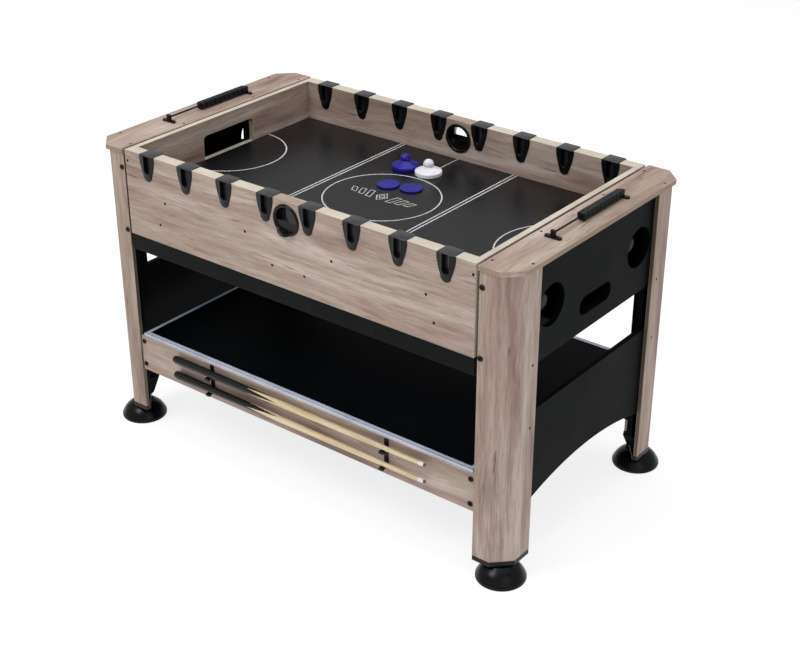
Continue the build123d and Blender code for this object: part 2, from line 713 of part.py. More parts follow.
corner_back = corner_pocket_mouth / math.sqrt(2)
cushions = []
for sx in (-1, 1):
    for sy in (-1, 1):
        long_strip = cushion(side_pocket_mouth / 2, nose_x - corner_back, 4, cushion_width)
        long_strip = Pos(0, -pool_rail_inner_y, 0) * long_strip
        if sx < 0:
            long_strip = mirror(long_strip, Plane.YZ)
        if sy > 0:
            long_strip = mirror(long_strip, Plane.XZ)
        cushions.append(long_strip)
    reach = nose_y - corner_back
    short_strip = Pos(0, -pool_rail_inner_x, 0) * cushion(-reach, reach, cushion_width, cushion_width)
    cushions.append(Rot(0, 0, 90 * sx) * short_strip)
pieces["cushions"] = cushions
pieces["box_screws"] = box_screws

# Loose pieces: tennis top, cues, pushers and pucks
pieces["tennis_top"] = block(-tennis_length / 2, tennis_length / 2, -tennis_width / 2, tennis_width / 2,
                             stretcher_top, stretcher_top + tennis_thickness)
for name, z in zip(("cue_upper", "cue_lower"), cue_heights):
    cone = Cone(cue_butt_diameter / 2, cue_tip_diameter / 2, cue_length)
    pieces[name] = Pos(cue_butt_x + cue_length / 2, cue_y, z) * Rot(0, 90, 0) * cone
for name, (x, y) in pusher_places.items():
    z = playfield_top + lay_gap
    r = pusher_diameter / 2
    k = pusher_knob_diameter / 2
    outline = make_face([
        Polyline((0, 0), (r - pusher_edge, 0), (r, pusher_edge), (r, pusher_rim_height - pusher_edge),
                 (r - pusher_edge, pusher_rim_height), (k - pusher_neck, pusher_height - k - 2 * pusher_neck),
                 (k, pusher_height - k)),
        ThreePointArc((k, pusher_height - k), (k * math.sqrt(0.5), pusher_height - k + k * math.sqrt(0.5)),
                      (0, pusher_height)),
        Line((0, pusher_height), (0, 0)),
    ])
    pieces[name] = Pos(x, y, z) * revolve(Plane.XZ * outline, Axis.Z)
for name, (x, y) in puck_places.items():
    z = playfield_top + lay_gap
    pieces[name] = rod_z(x, y, z, z + puck_thickness, puck_diameter)

os.makedirs("parts", exist_ok=True)
for name, piece in pieces.items():
    solids = piece if isinstance(piece, list) else [piece]
    solids = [solid for entry in solids for solid in entry.solids()]
    shape = solids[0] if len(solids) == 1 else Compound(children=solids)
    shape.label = name
    export_step(shape, f"parts/{name}.step")
print(len(pieces), "nodes")
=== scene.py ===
import math

import bmesh
import bpy
from mathutils import Matrix, Vector
from mathutils.bvhtree import BVHTree


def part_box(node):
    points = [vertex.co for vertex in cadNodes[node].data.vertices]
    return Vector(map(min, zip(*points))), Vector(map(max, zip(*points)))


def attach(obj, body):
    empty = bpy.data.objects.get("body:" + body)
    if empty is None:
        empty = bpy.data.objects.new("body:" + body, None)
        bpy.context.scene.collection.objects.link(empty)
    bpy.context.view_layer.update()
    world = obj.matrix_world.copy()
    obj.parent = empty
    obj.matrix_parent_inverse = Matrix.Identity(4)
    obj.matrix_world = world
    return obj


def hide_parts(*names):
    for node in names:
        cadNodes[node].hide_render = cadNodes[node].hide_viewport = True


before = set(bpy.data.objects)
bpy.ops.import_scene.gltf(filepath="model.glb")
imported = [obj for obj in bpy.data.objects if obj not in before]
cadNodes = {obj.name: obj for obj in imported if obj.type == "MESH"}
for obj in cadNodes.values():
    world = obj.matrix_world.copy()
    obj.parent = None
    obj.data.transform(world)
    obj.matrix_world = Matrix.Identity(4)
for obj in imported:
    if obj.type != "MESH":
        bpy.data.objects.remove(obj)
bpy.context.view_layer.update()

mm = 0.001
scene = bpy.context.scene


# small helpers
def linear(hexColour):
    parts = [int(hexColour[i:i + 2], 16) / 255 for i in (0, 2, 4)]
    return [c / 12.92 if c <= 0.04045 else ((c + 0.055) / 1.055) ** 2.4 for c in parts] + [1.0]


def outputOf(source):
    # a node stands for its first output in use
    if isinstance(source, bpy.types.Node):
        return next(socket for socket in source.outputs if socket.enabled)
    return source


def addNode(tree, kind, inputs=None, **settings):
    node = tree.nodes.new(kind)
    for key, value in settings.items():
        setattr(node, key, value)
    for key, value in (inputs or {}).items():
        if isinstance(value, (bpy.types.Node, bpy.types.NodeSocket)):
            tree.links.new(outputOf(value), node.inputs[key])
        else:
            node.inputs[key].default_value = value
    return node


def setStops(ramp, stops):
    # stops: position and colour of each, in order
    elements = ramp.color_ramp.elements
    while len(elements) < len(stops):
        elements.new(0.5)
    for element, (position, colour) in zip(elements, stops):
        element.position = position
        element.color = colour
    return ramp


def startMaterial(name, shaderValues):
    material = bpy.data.materials.new(name)
    material.use_nodes = True
    tree = material.node_tree
    shader = tree.nodes["Principled BSDF"]
    for key, value in shaderValues.items():
        shader.inputs[key].default_value = value
    place = addNode(tree, "ShaderNodeTexCoord").outputs["Object"]
    return material, tree, shader, place


def finishShader(tree, shader, colour, rough, height, strength, depth):
    # what every finish ends with: its colour, its gloss and a bump of the given depth in mm
    bump = addNode(tree, "ShaderNodeBump", {"Height": height, "Strength": strength, "Distance": depth * mm})
    for key, source in (("Base Color", colour), ("Roughness", rough), ("Normal", bump)):
        if source is not None:
            tree.links.new(outputOf(source), shader.inputs[key])


def darker(hexColour, share):
    return [c * share for c in linear(hexColour)[:3]] + [1.0]


# finishes
oakLook = {
    "pale": "C4B5AB", "sand": "AC988D", "rose": "9C8379",
    "brown": "76615A", "khaki": "9F8E7C", "crack": "4A3C33",
    "band": 42.0,      # mm, width of the printed boards and clouds
    "streak": 8.0,     # mm between dark streaks
    "fibre": 2.2,      # mm, drawn coarser than real pores so that it shows
    "sawMark": 7.0,    # mm between the cross marks of a band saw
    "wander": 55.0,    # mm, how far the grain strays sideways
    "roughness": 0.46,
}
wavePeriod = 0.3142    # m between the bands of a wave texture at scale 1


def weatheredOak(name, grain, shift):
    # Oak-print melamine foil on particleboard: pale clouds, rosy boards, saw marks and fine
    # pores along the grain, with a satin face that never mirrors anything.
    material, tree, shader, place = startMaterial(name, {"Specular IOR Level": 0.35, "IOR": 1.5})
    axis = "XYZ".index(grain)

    def stretched(length, width, source):
        # coordinates that gain 1 in every length mm along the grain and every width mm across it
        scale = [1000 / width] * 3
        scale[axis] = 1000 / length
        return addNode(tree, "ShaderNodeMapping", {"Vector": source, "Scale": scale, "Location": shift})

    def along(length, width, source, detail, roughness):
        # noise as long and as wide as that, in mm
        return addNode(tree, "ShaderNodeTexNoise", {
            "Vector": stretched(length, width, source), "Scale": 1.0,
            "Detail": detail, "Roughness": roughness})

    def tinted(base, colour, source, fromMin, fromMax, toMin, toMax):
        # the base with a colour laid over it as strongly as the source says
        share = addNode(tree, "ShaderNodeMapRange", {
            "Value": source, "From Min": fromMin, "From Max": fromMax, "To Min": toMin, "To Max": toMax})
        return addNode(tree, "ShaderNodeMix", {
            "Factor": share, "A": base, "B": linear(oakLook[colour])}, data_type="RGBA")

    wander = along(420, 150, place, 2.0, 0.5)
    centred = addNode(tree, "ShaderNodeVectorMath", {0: wander.outputs["Color"], 1: (0.5, 0.5, 0.5)},
                      operation="SUBTRACT")
    swing = [oakLook["wander"] * mm] * 3
    swing[axis] = 0.0
    swung = addNode(tree, "ShaderNodeVectorMath", {0: centred, 1: swing}, operation="MULTIPLY")
    grainPlace = addNode(tree, "ShaderNodeVectorMath", {0: place, 1: swung}, operation="ADD")

    clouds = along(520, oakLook["band"] * 1.3, grainPlace, 4.0, 0.58)
    tone = setStops(addNode(tree, "ShaderNodeValToRGB", {"Fac": clouds}), [
        (0.30, linear(oakLook["brown"])), (0.42, linear(oakLook["rose"])),
        (0.53, linear(oakLook["sand"])), (0.70, linear(oakLook["pale"]))])
    toned = tinted(tone, "khaki", along(2600, oakLook["band"], place, 1.0, 0.4), 0.46, 0.56, 0.0, 0.55)
    knots = addNode(tree, "ShaderNodeTexVoronoi", {
        "Vector": stretched(330, 105, grainPlace), "Scale": 1.0, "Randomness": 1.0})
    knotted = tinted(toned, "brown", knots, 0.02, 0.26, 0.62, 0.0)

    marks = addNode(tree, "ShaderNodeTexWave", {
        "Vector": place, "Scale": wavePeriod / (oakLook["sawMark"] * mm), "Distortion": 2.2, "Detail": 2.0,
        "Detail Scale": 1.4}, wave_type="BANDS", bands_direction=grain)
    markShare = addNode(tree, "ShaderNodeMapRange", {
        "Value": along(150, 60, place, 2.0, 0.5), "From Min": 0.52, "From Max": 0.68, "To Max": 0.20})
    marksHere = addNode(tree, "ShaderNodeMath", {0: marks.outputs["Fac"], 1: markShare}, operation="MULTIPLY")
    marked = addNode(tree, "ShaderNodeMix", {
        "Factor": marksHere, "A": knotted, "B": linear(oakLook["pale"])}, data_type="RGBA")

    streaks = along(190, oakLook["streak"], grainPlace, 5.0, 0.62)
    streaked = tinted(marked, "brown", streaks, 0.50, 0.72, 0.0, 0.70)
    cracked = tinted(streaked, "crack", along(120, 9.0, grainPlace, 3.0, 0.5), 0.68, 0.75, 0.0, 0.65)
    fibres = along(45, oakLook["fibre"], place, 3.0, 0.7)
    fibreLight = addNode(tree, "ShaderNodeMapRange", {
        "Value": fibres, "From Min": 0.3, "From Max": 0.7, "To Min": 0.80, "To Max": 1.12})
    coloured = addNode(tree, "ShaderNodeVectorMath", {0: cracked, 1: fibreLight}, operation="MULTIPLY")

    gloss = addNode(tree, "ShaderNodeMapRange", {
        "Value": streaks, "From Min": 0.3, "From Max": 0.7,
        "To Min": oakLook["roughness"] - 0.05, "To Max": oakLook["roughness"] + 0.12})
    relief = addNode(tree, "ShaderNodeMath", {0: fibres, 1: marksHere}, operation="ADD")
    finishShader(tree, shader, coloured, gloss, relief, 0.35, 0.3)
    return material


def edgeBand(name, hexColour):
    # Printed edge tape: a plain strip in the tone it is given, with short pores and a dull face.
    material, tree, shader, place = startMaterial(name, {"Specular IOR Level": 0.35})
    pores = addNode(tree, "ShaderNodeTexNoise", {
        "Vector": place, "Scale": 240.0, "Detail": 4.0, "Roughness": 0.6})    # 4 mm
    cloud = addNode(tree, "ShaderNodeTexNoise", {"Vector": place, "Scale": 9.0, "Detail": 3.0})    # 110 mm
    tint = setStops(addNode(tree, "ShaderNodeValToRGB", {"Fac": cloud}), [
        (0.35, darker(hexColour, 0.80)), (0.60, linear(hexColour))])
    light = addNode(tree, "ShaderNodeMapRange", {
        "Value": pores, "From Min": 0.35, "From Max": 0.65, "To Min": 0.90, "To Max": 1.05})
    mixed = addNode(tree, "ShaderNodeVectorMath", {0: tint, 1: light}, operation="MULTIPLY")
    rough = addNode(tree, "ShaderNodeMapRange", {
        "Value": pores, "From Min": 0.3, "From Max": 0.7, "To Min": 0.45, "To Max": 0.6})
    finishShader(tree, shader, mixed, rough, pores, 0.25, 0.2)
    return material


def darkFinish(name, look):
    # One recipe for the black parts: a base tone with slow patches, a fine grain that breaks up
    # the gloss, dust-light worn edges where the mesh marks them, and bump of the grain's own size.
    material, tree, shader, place = startMaterial(name, {
        "Metallic": look.get("metallic", 0.0), "Specular IOR Level": look.get("specular", 0.5)})
    patches = addNode(tree, "ShaderNodeTexNoise", {
        "Vector": place, "Scale": 1000 / look["patch"], "Detail": 3.0, "Roughness": 0.55})
    grain = addNode(tree, "ShaderNodeTexNoise", {
        "Vector": place, "Scale": 1000 / look["grain"], "Detail": 2.0, "Roughness": 0.6})
    tone = setStops(addNode(tree, "ShaderNodeValToRGB", {"Fac": patches}), [
        (0.35, linear(look["deep"])), (0.65, linear(look["tone"]))])
    wear = addNode(tree, "ShaderNodeAttribute", attribute_name="wear")
    wearBroken = addNode(tree, "ShaderNodeMapRange", {
        "Value": patches, "From Min": 0.35, "From Max": 0.6, "To Min": 0.3, "To Max": 1.0})
    wearShare = addNode(tree, "ShaderNodeMath", {0: wear.outputs["Fac"], 1: wearBroken}, operation="MULTIPLY")
    worn = addNode(tree, "ShaderNodeMix", {
        "Factor": wearShare, "A": tone, "B": linear(look["worn"])}, data_type="RGBA")
    speck = addNode(tree, "ShaderNodeMapRange", {
        "Value": grain, "From Min": 0.3, "From Max": 0.7, "To Min": 0.88, "To Max": 1.12})
    coloured = addNode(tree, "ShaderNodeVectorMath", {0: worn, 1: speck}, operation="MULTIPLY")
    smear = addNode(tree, "ShaderNodeMath", {0: patches, 1: grain}, operation="MULTIPLY")
    rough = addNode(tree, "ShaderNodeMapRange", {
        "Value": smear, "From Min": 0.12, "From Max": 0.42,
        "To Min": look["gloss"][0], "To Max": look["gloss"][1]})
    finishShader(tree, shader, coloured, rough, grain, look.get("relief", 0.3), 0.3)
    return material


def poolCloth(name, hexColour):
    # Napped wool-nylon cloth: no shine, a soft pile sheen and slow shading where the nap lies over.
    material, tree, shader, place = startMaterial(name, {
        "Roughness": 0.95, "Sheen Weight": 0.35, "Sheen Roughness": 0.5, "Specular IOR Level": 0.15})
    nap = addNode(tree, "ShaderNodeTexNoise", {"Vector": place, "Scale": 7.0, "Detail": 3.0})    # 140 mm
    pile = addNode(tree, "ShaderNodeTexNoise", {
        "Vector": place, "Scale": 700.0, "Detail": 2.0, "Roughness": 0.8})    # 1.4 mm
    tone = setStops(addNode(tree, "ShaderNodeValToRGB", {"Fac": nap}), [
        (0.35, darker(hexColour, 0.72)), (0.65, linear(hexColour))])
    light = addNode(tree, "ShaderNodeMapRange", {
        "Value": pile, "From Min": 0.3, "From Max": 0.7, "To Min": 0.8, "To Max": 1.2})
    mixed = addNode(tree, "ShaderNodeVectorMath", {0: tone, 1: light}, operation="MULTIPLY")
    finishShader(tree, shader, mixed, None, pile, 0.5, 0.4)
    return material


def glossPlastic(name, hexColour, scuff):
    # Injection-moulded polystyrene: an even body colour, a thin gloss and swirled handling scuffs.
    material, tree, shader, place = startMaterial(name, {
        "Specular IOR Level": 0.25, "Subsurface Weight": 0.05, "Subsurface Scale": 0.002})
    scuffs = addNode(tree, "ShaderNodeTexNoise", {
        "Vector": place, "Scale": 90.0, "Detail": 6.0, "Roughness": 0.75, "Distortion": 1.2})    # 11 mm
    flow = addNode(tree, "ShaderNodeTexNoise", {"Vector": place, "Scale": 24.0, "Detail": 2.0})    # 42 mm
    tone = setStops(addNode(tree, "ShaderNodeValToRGB", {"Fac": flow}), [
        (0.35, darker(hexColour, 0.86)), (0.60, linear(hexColour))])
    rough = addNode(tree, "ShaderNodeMapRange", {
        "Value": scuffs, "From Min": 0.35, "From Max": 0.7, "To Min": 0.22, "To Max": scuff})
    finishShader(tree, shader, tone, rough, scuffs, 0.08, 0.3)
    return material


oakAlongX = weatheredOak("oak foil, grain along the table", "X", (0.0, 3.1, 0.4))
oakAlongY = weatheredOak("oak foil, grain across the table", "Y", (1.7, 0.0, 5.2))
oakUpright = weatheredOak("oak foil, grain upright", "Z", (4.3, 2.6, 0.0))
edgeTape = edgeBand("beige edge tape", "C8BFB0")
shelfTape = edgeBand("tan edge tape", "94826C")
# the legs' tape is a brown-khaki edge, made darker still as painted shade on their narrow faces
legTapeWithPaintedShade = edgeBand("umber edge tape", "5F5544")
blackMelamine = darkFinish("black melamine board, pearled", {
    "deep": "07090A", "tone": "0C0E0F", "worn": "1B1C1D", "patch": 120, "grain": 1.4, "gloss": (0.38, 0.56),
    "specular": 0.03})
paintedRail = darkFinish("black foil-wrapped rail", {
    "deep": "0D0E0F", "tone": "141516", "worn": "242426", "patch": 90, "grain": 1.8, "gloss": (0.32, 0.48),
    "specular": 0.05})
mouldedBlack = darkFinish("moulded black ABS, fine spark texture", {
    "deep": "08080A", "tone": "0E0E10", "worn": "232326", "patch": 35, "grain": 0.9, "gloss": (0.22, 0.38),
    "specular": 0.22})
gripBlack = darkFinish("black polypropylene, smooth", {
    "deep": "070708", "tone": "0C0C0E", "worn": "202022", "patch": 25, "grain": 1.2, "gloss": (0.18, 0.32),
    "specular": 0.2})
# the caps' tones are lifted from black to a purple-grey as a painted reflection of the white ceiling on the
# polished plastic
capBlackWithPaintedReflection = darkFinish("black ABS, polished tool face", {
    "deep": "151419", "tone": "201E26", "worn": "3A3842", "patch": 60, "grain": 1.5, "gloss": (0.22, 0.34),
    "relief": 0.08, "specular": 0.7})
blackOxide = darkFinish("black-oxide steel", {
    "deep": "1C1815", "tone": "2A2420", "worn": "6A625A", "patch": 6, "grain": 0.7, "gloss": (0.30, 0.46),
    "metallic": 0.85})
brightSteel = darkFinish("zinc-plated steel", {
    "deep": "8B8D90", "tone": "A9ACB0", "worn": "D0D2D4", "patch": 12, "grain": 0.8, "gloss": (0.24, 0.40),
    "metallic": 1.0})
hockeySurface = darkFinish("charcoal gaming laminate", {
    "deep": "0E0E10", "tone": "151517", "worn": "28282A", "patch": 260, "grain": 1.6, "gloss": (0.26, 0.38),
    "relief": 0.05, "specular": 0.28})
tennisPaint = darkFinish("blue-black table paint, roller stipple", {
    "deep": "020405", "tone": "05090B", "worn": "C4CADB", "patch": 180, "grain": 2.2, "gloss": (0.40, 0.56),
    "specular": 0.03})
tableCloth = poolCloth("blue napped cloth", "1C3580")
bluePlastic = glossPlastic("blue polystyrene", "211C86", 0.42)
whitePlastic = glossPlastic("white polystyrene", "E4E4EA", 0.38)
linePaint = edgeBand("pale screen-printed line", "C9C9CB")
borderPaint = edgeBand("white border paint", "CDD2E4")
print("finishes ready")


# making and placing pieces
def addObject(name, data):
    made = bpy.data.objects.new(name, data)
    scene.collection.objects.link(made)
    return made


def meshFrom(bm, name):
    mesh = bpy.data.meshes.new(name)
    bm.to_mesh(mesh)
    bm.free()
    return mesh


def smoothed(mesh, cornerAngle):
    # smooth faces, with every corner sharper than the angle left crisp
    for polygon in mesh.polygons:
        polygon.use_smooth = True
    mesh.set_sharp_from_angle(angle=math.radians(cornerAngle))
    return mesh


def bakedMesh(holder):
    # a plain mesh of what the holder's modifiers make; the holder goes
    made = bpy.data.meshes.new_from_object(holder.evaluated_get(bpy.context.evaluated_depsgraph_get()))
    holder.modifiers.clear()
    bpy.data.objects.remove(holder)
    return made


def addPiece(name, mesh, body, materials=(), standsFor=()):
    piece = addObject(name, mesh)
    for material in materials:
        mesh.materials.append(material)
    mesh.name = name
    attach(piece, body)
    if standsFor:
        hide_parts(*standsFor)


def weighNormals(mesh, name):
    # area weighting keeps the flat faces flat beside their rounded edges
    holder = addObject(name, smoothed(mesh, 50))
    weigh = holder.modifiers.new("weigh", "WEIGHTED_NORMAL")
    weigh.keep_sharp = True
    return bakedMesh(holder)


def mergedCopy(nodeName):
    # a bmesh of a CAD node, its loose triangles merged into flat faces
    bm = bmesh.new()
    bm.from_mesh(cadNodes[nodeName].data)
    bmesh.ops.remove_doubles(bm, verts=bm.verts, dist=0.01 * mm)
    bmesh.ops.dissolve_limit(bm, angle_limit=math.radians(0.6), verts=bm.verts, edges=bm.edges)
    return bm


def boardMesh(nodeName, size):
    # the board's narrow faces take the second material, the tape, and with rimTaped its rounded
    # corners do too
    bm = mergedCopy(nodeName)
    wear = bm.faces.layers.float.new("wear")
    shortest = size.get("shortest", 11.0) * mm
    corners = [e for e in bm.edges if len(e.link_faces) == 2 and e.calc_length() > shortest
               and e.calc_face_angle(0) > math.radians(30)]
    rounded = bmesh.ops.bevel(bm, geom=corners, offset=size["edge"] * mm, segments=2, profile=0.6,
                              affect="EDGES", clamp_overlap=True)
    for face in rounded["faces"]:
        face[wear] = 1.0
        face.material_index = 1 if "rimTaped" in size else 0
    if "tape" in size:
        tape = size["tape"] * mm
        bm.normal_update()
        solid = BVHTree.FromBMesh(bm)
        for face in bm.faces:
            points = [v.co for v in face.verts]
            spans = sorted(max(p[i] for p in points) - min(p[i] for p in points) for i in range(3))
            if 5 * mm < spans[1] < tape + 0.6 * mm:
                # a narrow face is an edge only where the board behind it is deeper than it is thick
                start = face.calc_center_median() - face.normal * 0.05 * mm
                depth = solid.ray_cast(start, -face.normal)[3]
                if depth and depth > tape * 1.2:
                    face.material_index = 1
    return weighNormals(meshFrom(bm, "board"), "board")


def islands(nodeName):
    # lowest and highest corner of each separate solid of a CAD node
    bm = mergedCopy(nodeName)
    left, found = set(bm.verts), []
    while left:
        stack = [left.pop()]
        group = list(stack)
        while stack:
            for edge in stack.pop().link_edges:
                for vert in edge.verts:
                    if vert in left:
                        left.discard(vert)
                        stack.append(vert)
                        group.append(vert)
        low = Vector([min(v.co[i] for v in group) for i in range(3)])
        high = Vector([max(v.co[i] for v in group) for i in range(3)])
        found.append((low, high))
    bm.free()
    return sorted(found, key=lambda pair: tuple(pair[0]))


def ringMesh(rings, closedEnds=True):
    # skin over rings of equal point count, each ring closed on itself
    bm = bmesh.new()
    rows = [[bm.verts.new(point) for point in ring] for ring in rings]
    count = len(rows[0])
    for lower, upper in zip(rows, rows[1:]):
        for i in range(count):
            j = (i + 1) % count
            bm.faces.new((lower[i], lower[j], upper[j], upper[i]))
    if closedEnds:
        bm.faces.new(rows[0][::-1])
        bm.faces.new(rows[-1])
    bmesh.ops.remove_doubles(bm, verts=bm.verts, dist=0.001 * mm)
    bmesh.ops.recalc_face_normals(bm, faces=bm.faces)
    return meshFrom(bm, "rings")


def turned(profile, sides, wave=None):
    # profile: radius and height pairs in mm up the axis; wave changes the radius round the turn
    rings = []
    for radius, height in profile:
        ring = []
        for i in range(sides):
            angle = 2 * math.pi * i / sides
            r = radius * (wave(angle, height) if wave else 1.0)
            ring.append(Vector((r * math.cos(angle), r * math.sin(angle), height)) * mm)
        rings.append(ring)
    return ringMesh(rings)


def arcPoints(centre, radius, start, end, steps):
    # pairs of coordinates along an arc, angles in degrees
    angles = [math.radians(start + (end - start) * i / steps) for i in range(steps + 1)]
    return [(centre[0] + radius * math.cos(a), centre[1] + radius * math.sin(a)) for a in angles]


def roundedOutline(length, width, corner, radius):
    # a rectangle's outline, its corners turned by the given radius about centres a corner in
    outline = []
    for sx, sy, start in ((1, 1, 0), (-1, 1, 90), (-1, -1, 180), (1, -1, 270)):
        centre = (sx * (length / 2 - corner), sy * (width / 2 - corner))
        outline += arcPoints(centre, radius, start, start + 90, 4)
    return outline


# node trees
def startTree(name, sockets):
    tree = bpy.data.node_groups.new(name, "GeometryNodeTree")
    tree.interface.new_socket("Geometry", in_out="INPUT", socket_type="NodeSocketGeometry")
    for socketName, kind, value in sockets:
        socket = tree.interface.new_socket(socketName, in_out="INPUT", socket_type=kind)
        if value is not None:
            socket.default_value = value
    tree.interface.new_socket("Geometry", in_out="OUTPUT", socket_type="NodeSocketGeometry")
    return tree, addNode(tree, "NodeGroupInput").outputs


def endTree(tree, geometry, finish):
    real = addNode(tree, "GeometryNodeRealizeInstances", {"Geometry": geometry})
    return addNode(tree, "GeometryNodeSetMaterial", {"Geometry": real, "Material": finish})


# rowTree sets a part out in a straight row and keeps what earlier rows have laid down
rowTree, given = startTree("row of parts", [
    ("Part", "NodeSocketObject", None), ("Count", "NodeSocketInt", 8), ("First", "NodeSocketVector", None),
    ("Pitch", "NodeSocketVector", None), ("Turn", "NodeSocketRotation", None),
    ("Finish", "NodeSocketMaterial", None)])
rowLine = addNode(rowTree, "GeometryNodeMeshLine", {
    "Count": given["Count"], "Start Location": given["First"], "Offset": given["Pitch"]}, mode="OFFSET")
rowPart = addNode(rowTree, "GeometryNodeObjectInfo", {"Object": given["Part"], "As Instance": True})
rowLaid = addNode(rowTree, "GeometryNodeInstanceOnPoints", {
    "Points": rowLine, "Instance": rowPart.outputs["Geometry"], "Rotation": given["Turn"]})
rowPainted = endTree(rowTree, rowLaid, given["Finish"])
rowKept = addNode(rowTree, "GeometryNodeJoinGeometry")
for source in (rowPainted.outputs[0], given["Geometry"]):
    rowTree.links.new(source, rowKept.inputs[0])
addNode(rowTree, "NodeGroupOutput", {"Geometry": rowKept})

# headTree stands a fastener head on every mark, along the mark's "aim", each turned by chance
headTree, given = startTree("heads on marks", [
    ("Head", "NodeSocketObject", None), ("Size", "NodeSocketFloat", 1.0), ("Seed", "NodeSocketInt", 4),
    ("Finish", "NodeSocketMaterial", None)])
headAim = addNode(headTree, "GeometryNodeInputNamedAttribute", {"Name": "aim"}, data_type="FLOAT_VECTOR")
headUp = addNode(headTree, "FunctionNodeAlignRotationToVector", {"Vector": headAim}, axis="Z")
headSpin = addNode(headTree, "FunctionNodeRandomValue", {"Seed": given["Seed"]}, data_type="FLOAT")
headSpin.inputs[3].default_value = 2 * math.pi
headAngles = addNode(headTree, "ShaderNodeCombineXYZ", {"Z": headSpin.outputs[1]})
headTurn = addNode(headTree, "FunctionNodeEulerToRotation", {0: headAngles})
headWhole = addNode(headTree, "FunctionNodeRotateRotation", {
    "Rotation": headUp, "Rotate By": headTurn}, rotation_space="LOCAL")
headPart = addNode(headTree, "GeometryNodeObjectInfo", {"Object": given["Head"], "As Instance": True})
headLaid = addNode(headTree, "GeometryNodeInstanceOnPoints", {
    "Points": given["Geometry"], "Instance": headPart.outputs["Geometry"], "Rotation": headWhole,
    "Scale": given["Size"]})
addNode(headTree, "NodeGroupOutput", {"Geometry": endTree(headTree, headLaid, given["Finish"])})

# lineTree prints a flat line of one width along every edge it is given
lineTree, given = startTree("printed lines", [
    ("Line Width", "NodeSocketFloat", 0.004), ("Line Height", "NodeSocketFloat", 0.00004),
    ("Finish", "NodeSocketMaterial", None)])
linePath = addNode(lineTree, "GeometryNodeMeshToCurve", {"Mesh": given["Geometry"]})
lineFlat = addNode(lineTree, "GeometryNodeSetCurveNormal", {"Curve": linePath}, mode="Z_UP")
lineShape = addNode(lineTree, "GeometryNodeCurvePrimitiveQuadrilateral", {
    "Width": given["Line Width"], "Height": given["Line Height"]})
lineMade = addNode(lineTree, "GeometryNodeCurveToMesh", {
    "Curve": lineFlat, "Profile Curve": lineShape, "Fill Caps": True})
addNode(lineTree, "NodeGroupOutput", {"Geometry": endTree(lineTree, lineMade, given["Finish"])})

# cueTree turns a tapered shaft: the radius falls in a straight line from butt to ferrule
cueTree, given = startTree("turned cue", [
    ("Start", "NodeSocketVector", None), ("End", "NodeSocketVector", None),
    ("Butt Radius", "NodeSocketFloat", 0.0115), ("Tip Radius", "NodeSocketFloat", 0.0055),
    ("Sides", "NodeSocketInt", 32), ("Rings", "NodeSocketInt", 90), ("Finish", "NodeSocketMaterial", None)])
cueLine = addNode(cueTree, "GeometryNodeCurvePrimitiveLine", {"Start": given["Start"], "End": given["End"]})
cueSteps = addNode(cueTree, "GeometryNodeResampleCurve", {"Curve": cueLine, "Count": given["Rings"]})
cueShare = addNode(cueTree, "GeometryNodeSplineParameter")
cueFall = addNode(cueTree, "ShaderNodeMapRange", {
    "Value": cueShare.outputs["Factor"], "To Min": given["Butt Radius"], "To Max": given["Tip Radius"]})
# the butt end and the tip are rounded over the first and last hundredth
cueOpen = addNode(cueTree, "ShaderNodeMapRange", {
    "Value": cueShare.outputs["Factor"], "From Max": 0.012, "To Min": 0.80}, interpolation_type="SMOOTHSTEP")
cueClose = addNode(cueTree, "ShaderNodeMapRange", {
    "Value": cueShare.outputs["Factor"], "From Min": 0.993, "To Min": 1.0, "To Max": 0.72},
    interpolation_type="SMOOTHSTEP")
cueEnds = addNode(cueTree, "ShaderNodeMath", {0: cueOpen, 1: cueClose}, operation="MULTIPLY")
cueRadius = addNode(cueTree, "ShaderNodeMath", {0: cueFall, 1: cueEnds}, operation="MULTIPLY")
cueRing = addNode(cueTree, "GeometryNodeCurvePrimitiveCircle", {
    "Resolution": given["Sides"], "Radius": 1.0})
cueSkin = addNode(cueTree, "GeometryNodeCurveToMesh", {
    "Curve": cueSteps, "Profile Curve": cueRing, "Scale": cueRadius,
    "Fill Caps": True})
cueSmooth = addNode(cueTree, "GeometryNodeSetShadeSmooth", {"Geometry": cueSkin})
addNode(cueTree, "NodeGroupOutput", {"Geometry": endTree(cueTree, cueSmooth, given["Finish"])})


def runTree(start, passes):
    # start: a mesh; passes: tree and its inputs, each one modifier; returns the finished plain mesh
    holder = addObject("holder", start)
    for tree, values in passes:
        modifier = holder.modifiers.new(tree.name, "NODES")
        modifier.node_group = tree
        sockets = {item.name: item.identifier for item in tree.interface.items_tree if item.in_out == "INPUT"}
        for key, value in values.items():
            modifier[sockets[key]] = value
    return bakedMesh(holder)


def standPiece(name, mesh, node, finish):
    # a piece made about the upright axis, stood in the middle of its node's box
    low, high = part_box(node)
    mesh.transform(Matrix.Translation(((low.x + high.x) / 2, (low.y + high.y) / 2, low.z)))
    addPiece(name, weighNormals(mesh, name), node, (finish,), [node])


def patternPart(mesh, name):
    # a part that only serves the trees; it is removed once the trees have run
    return addObject(name, smoothed(mesh, 40))


print("trees ready")


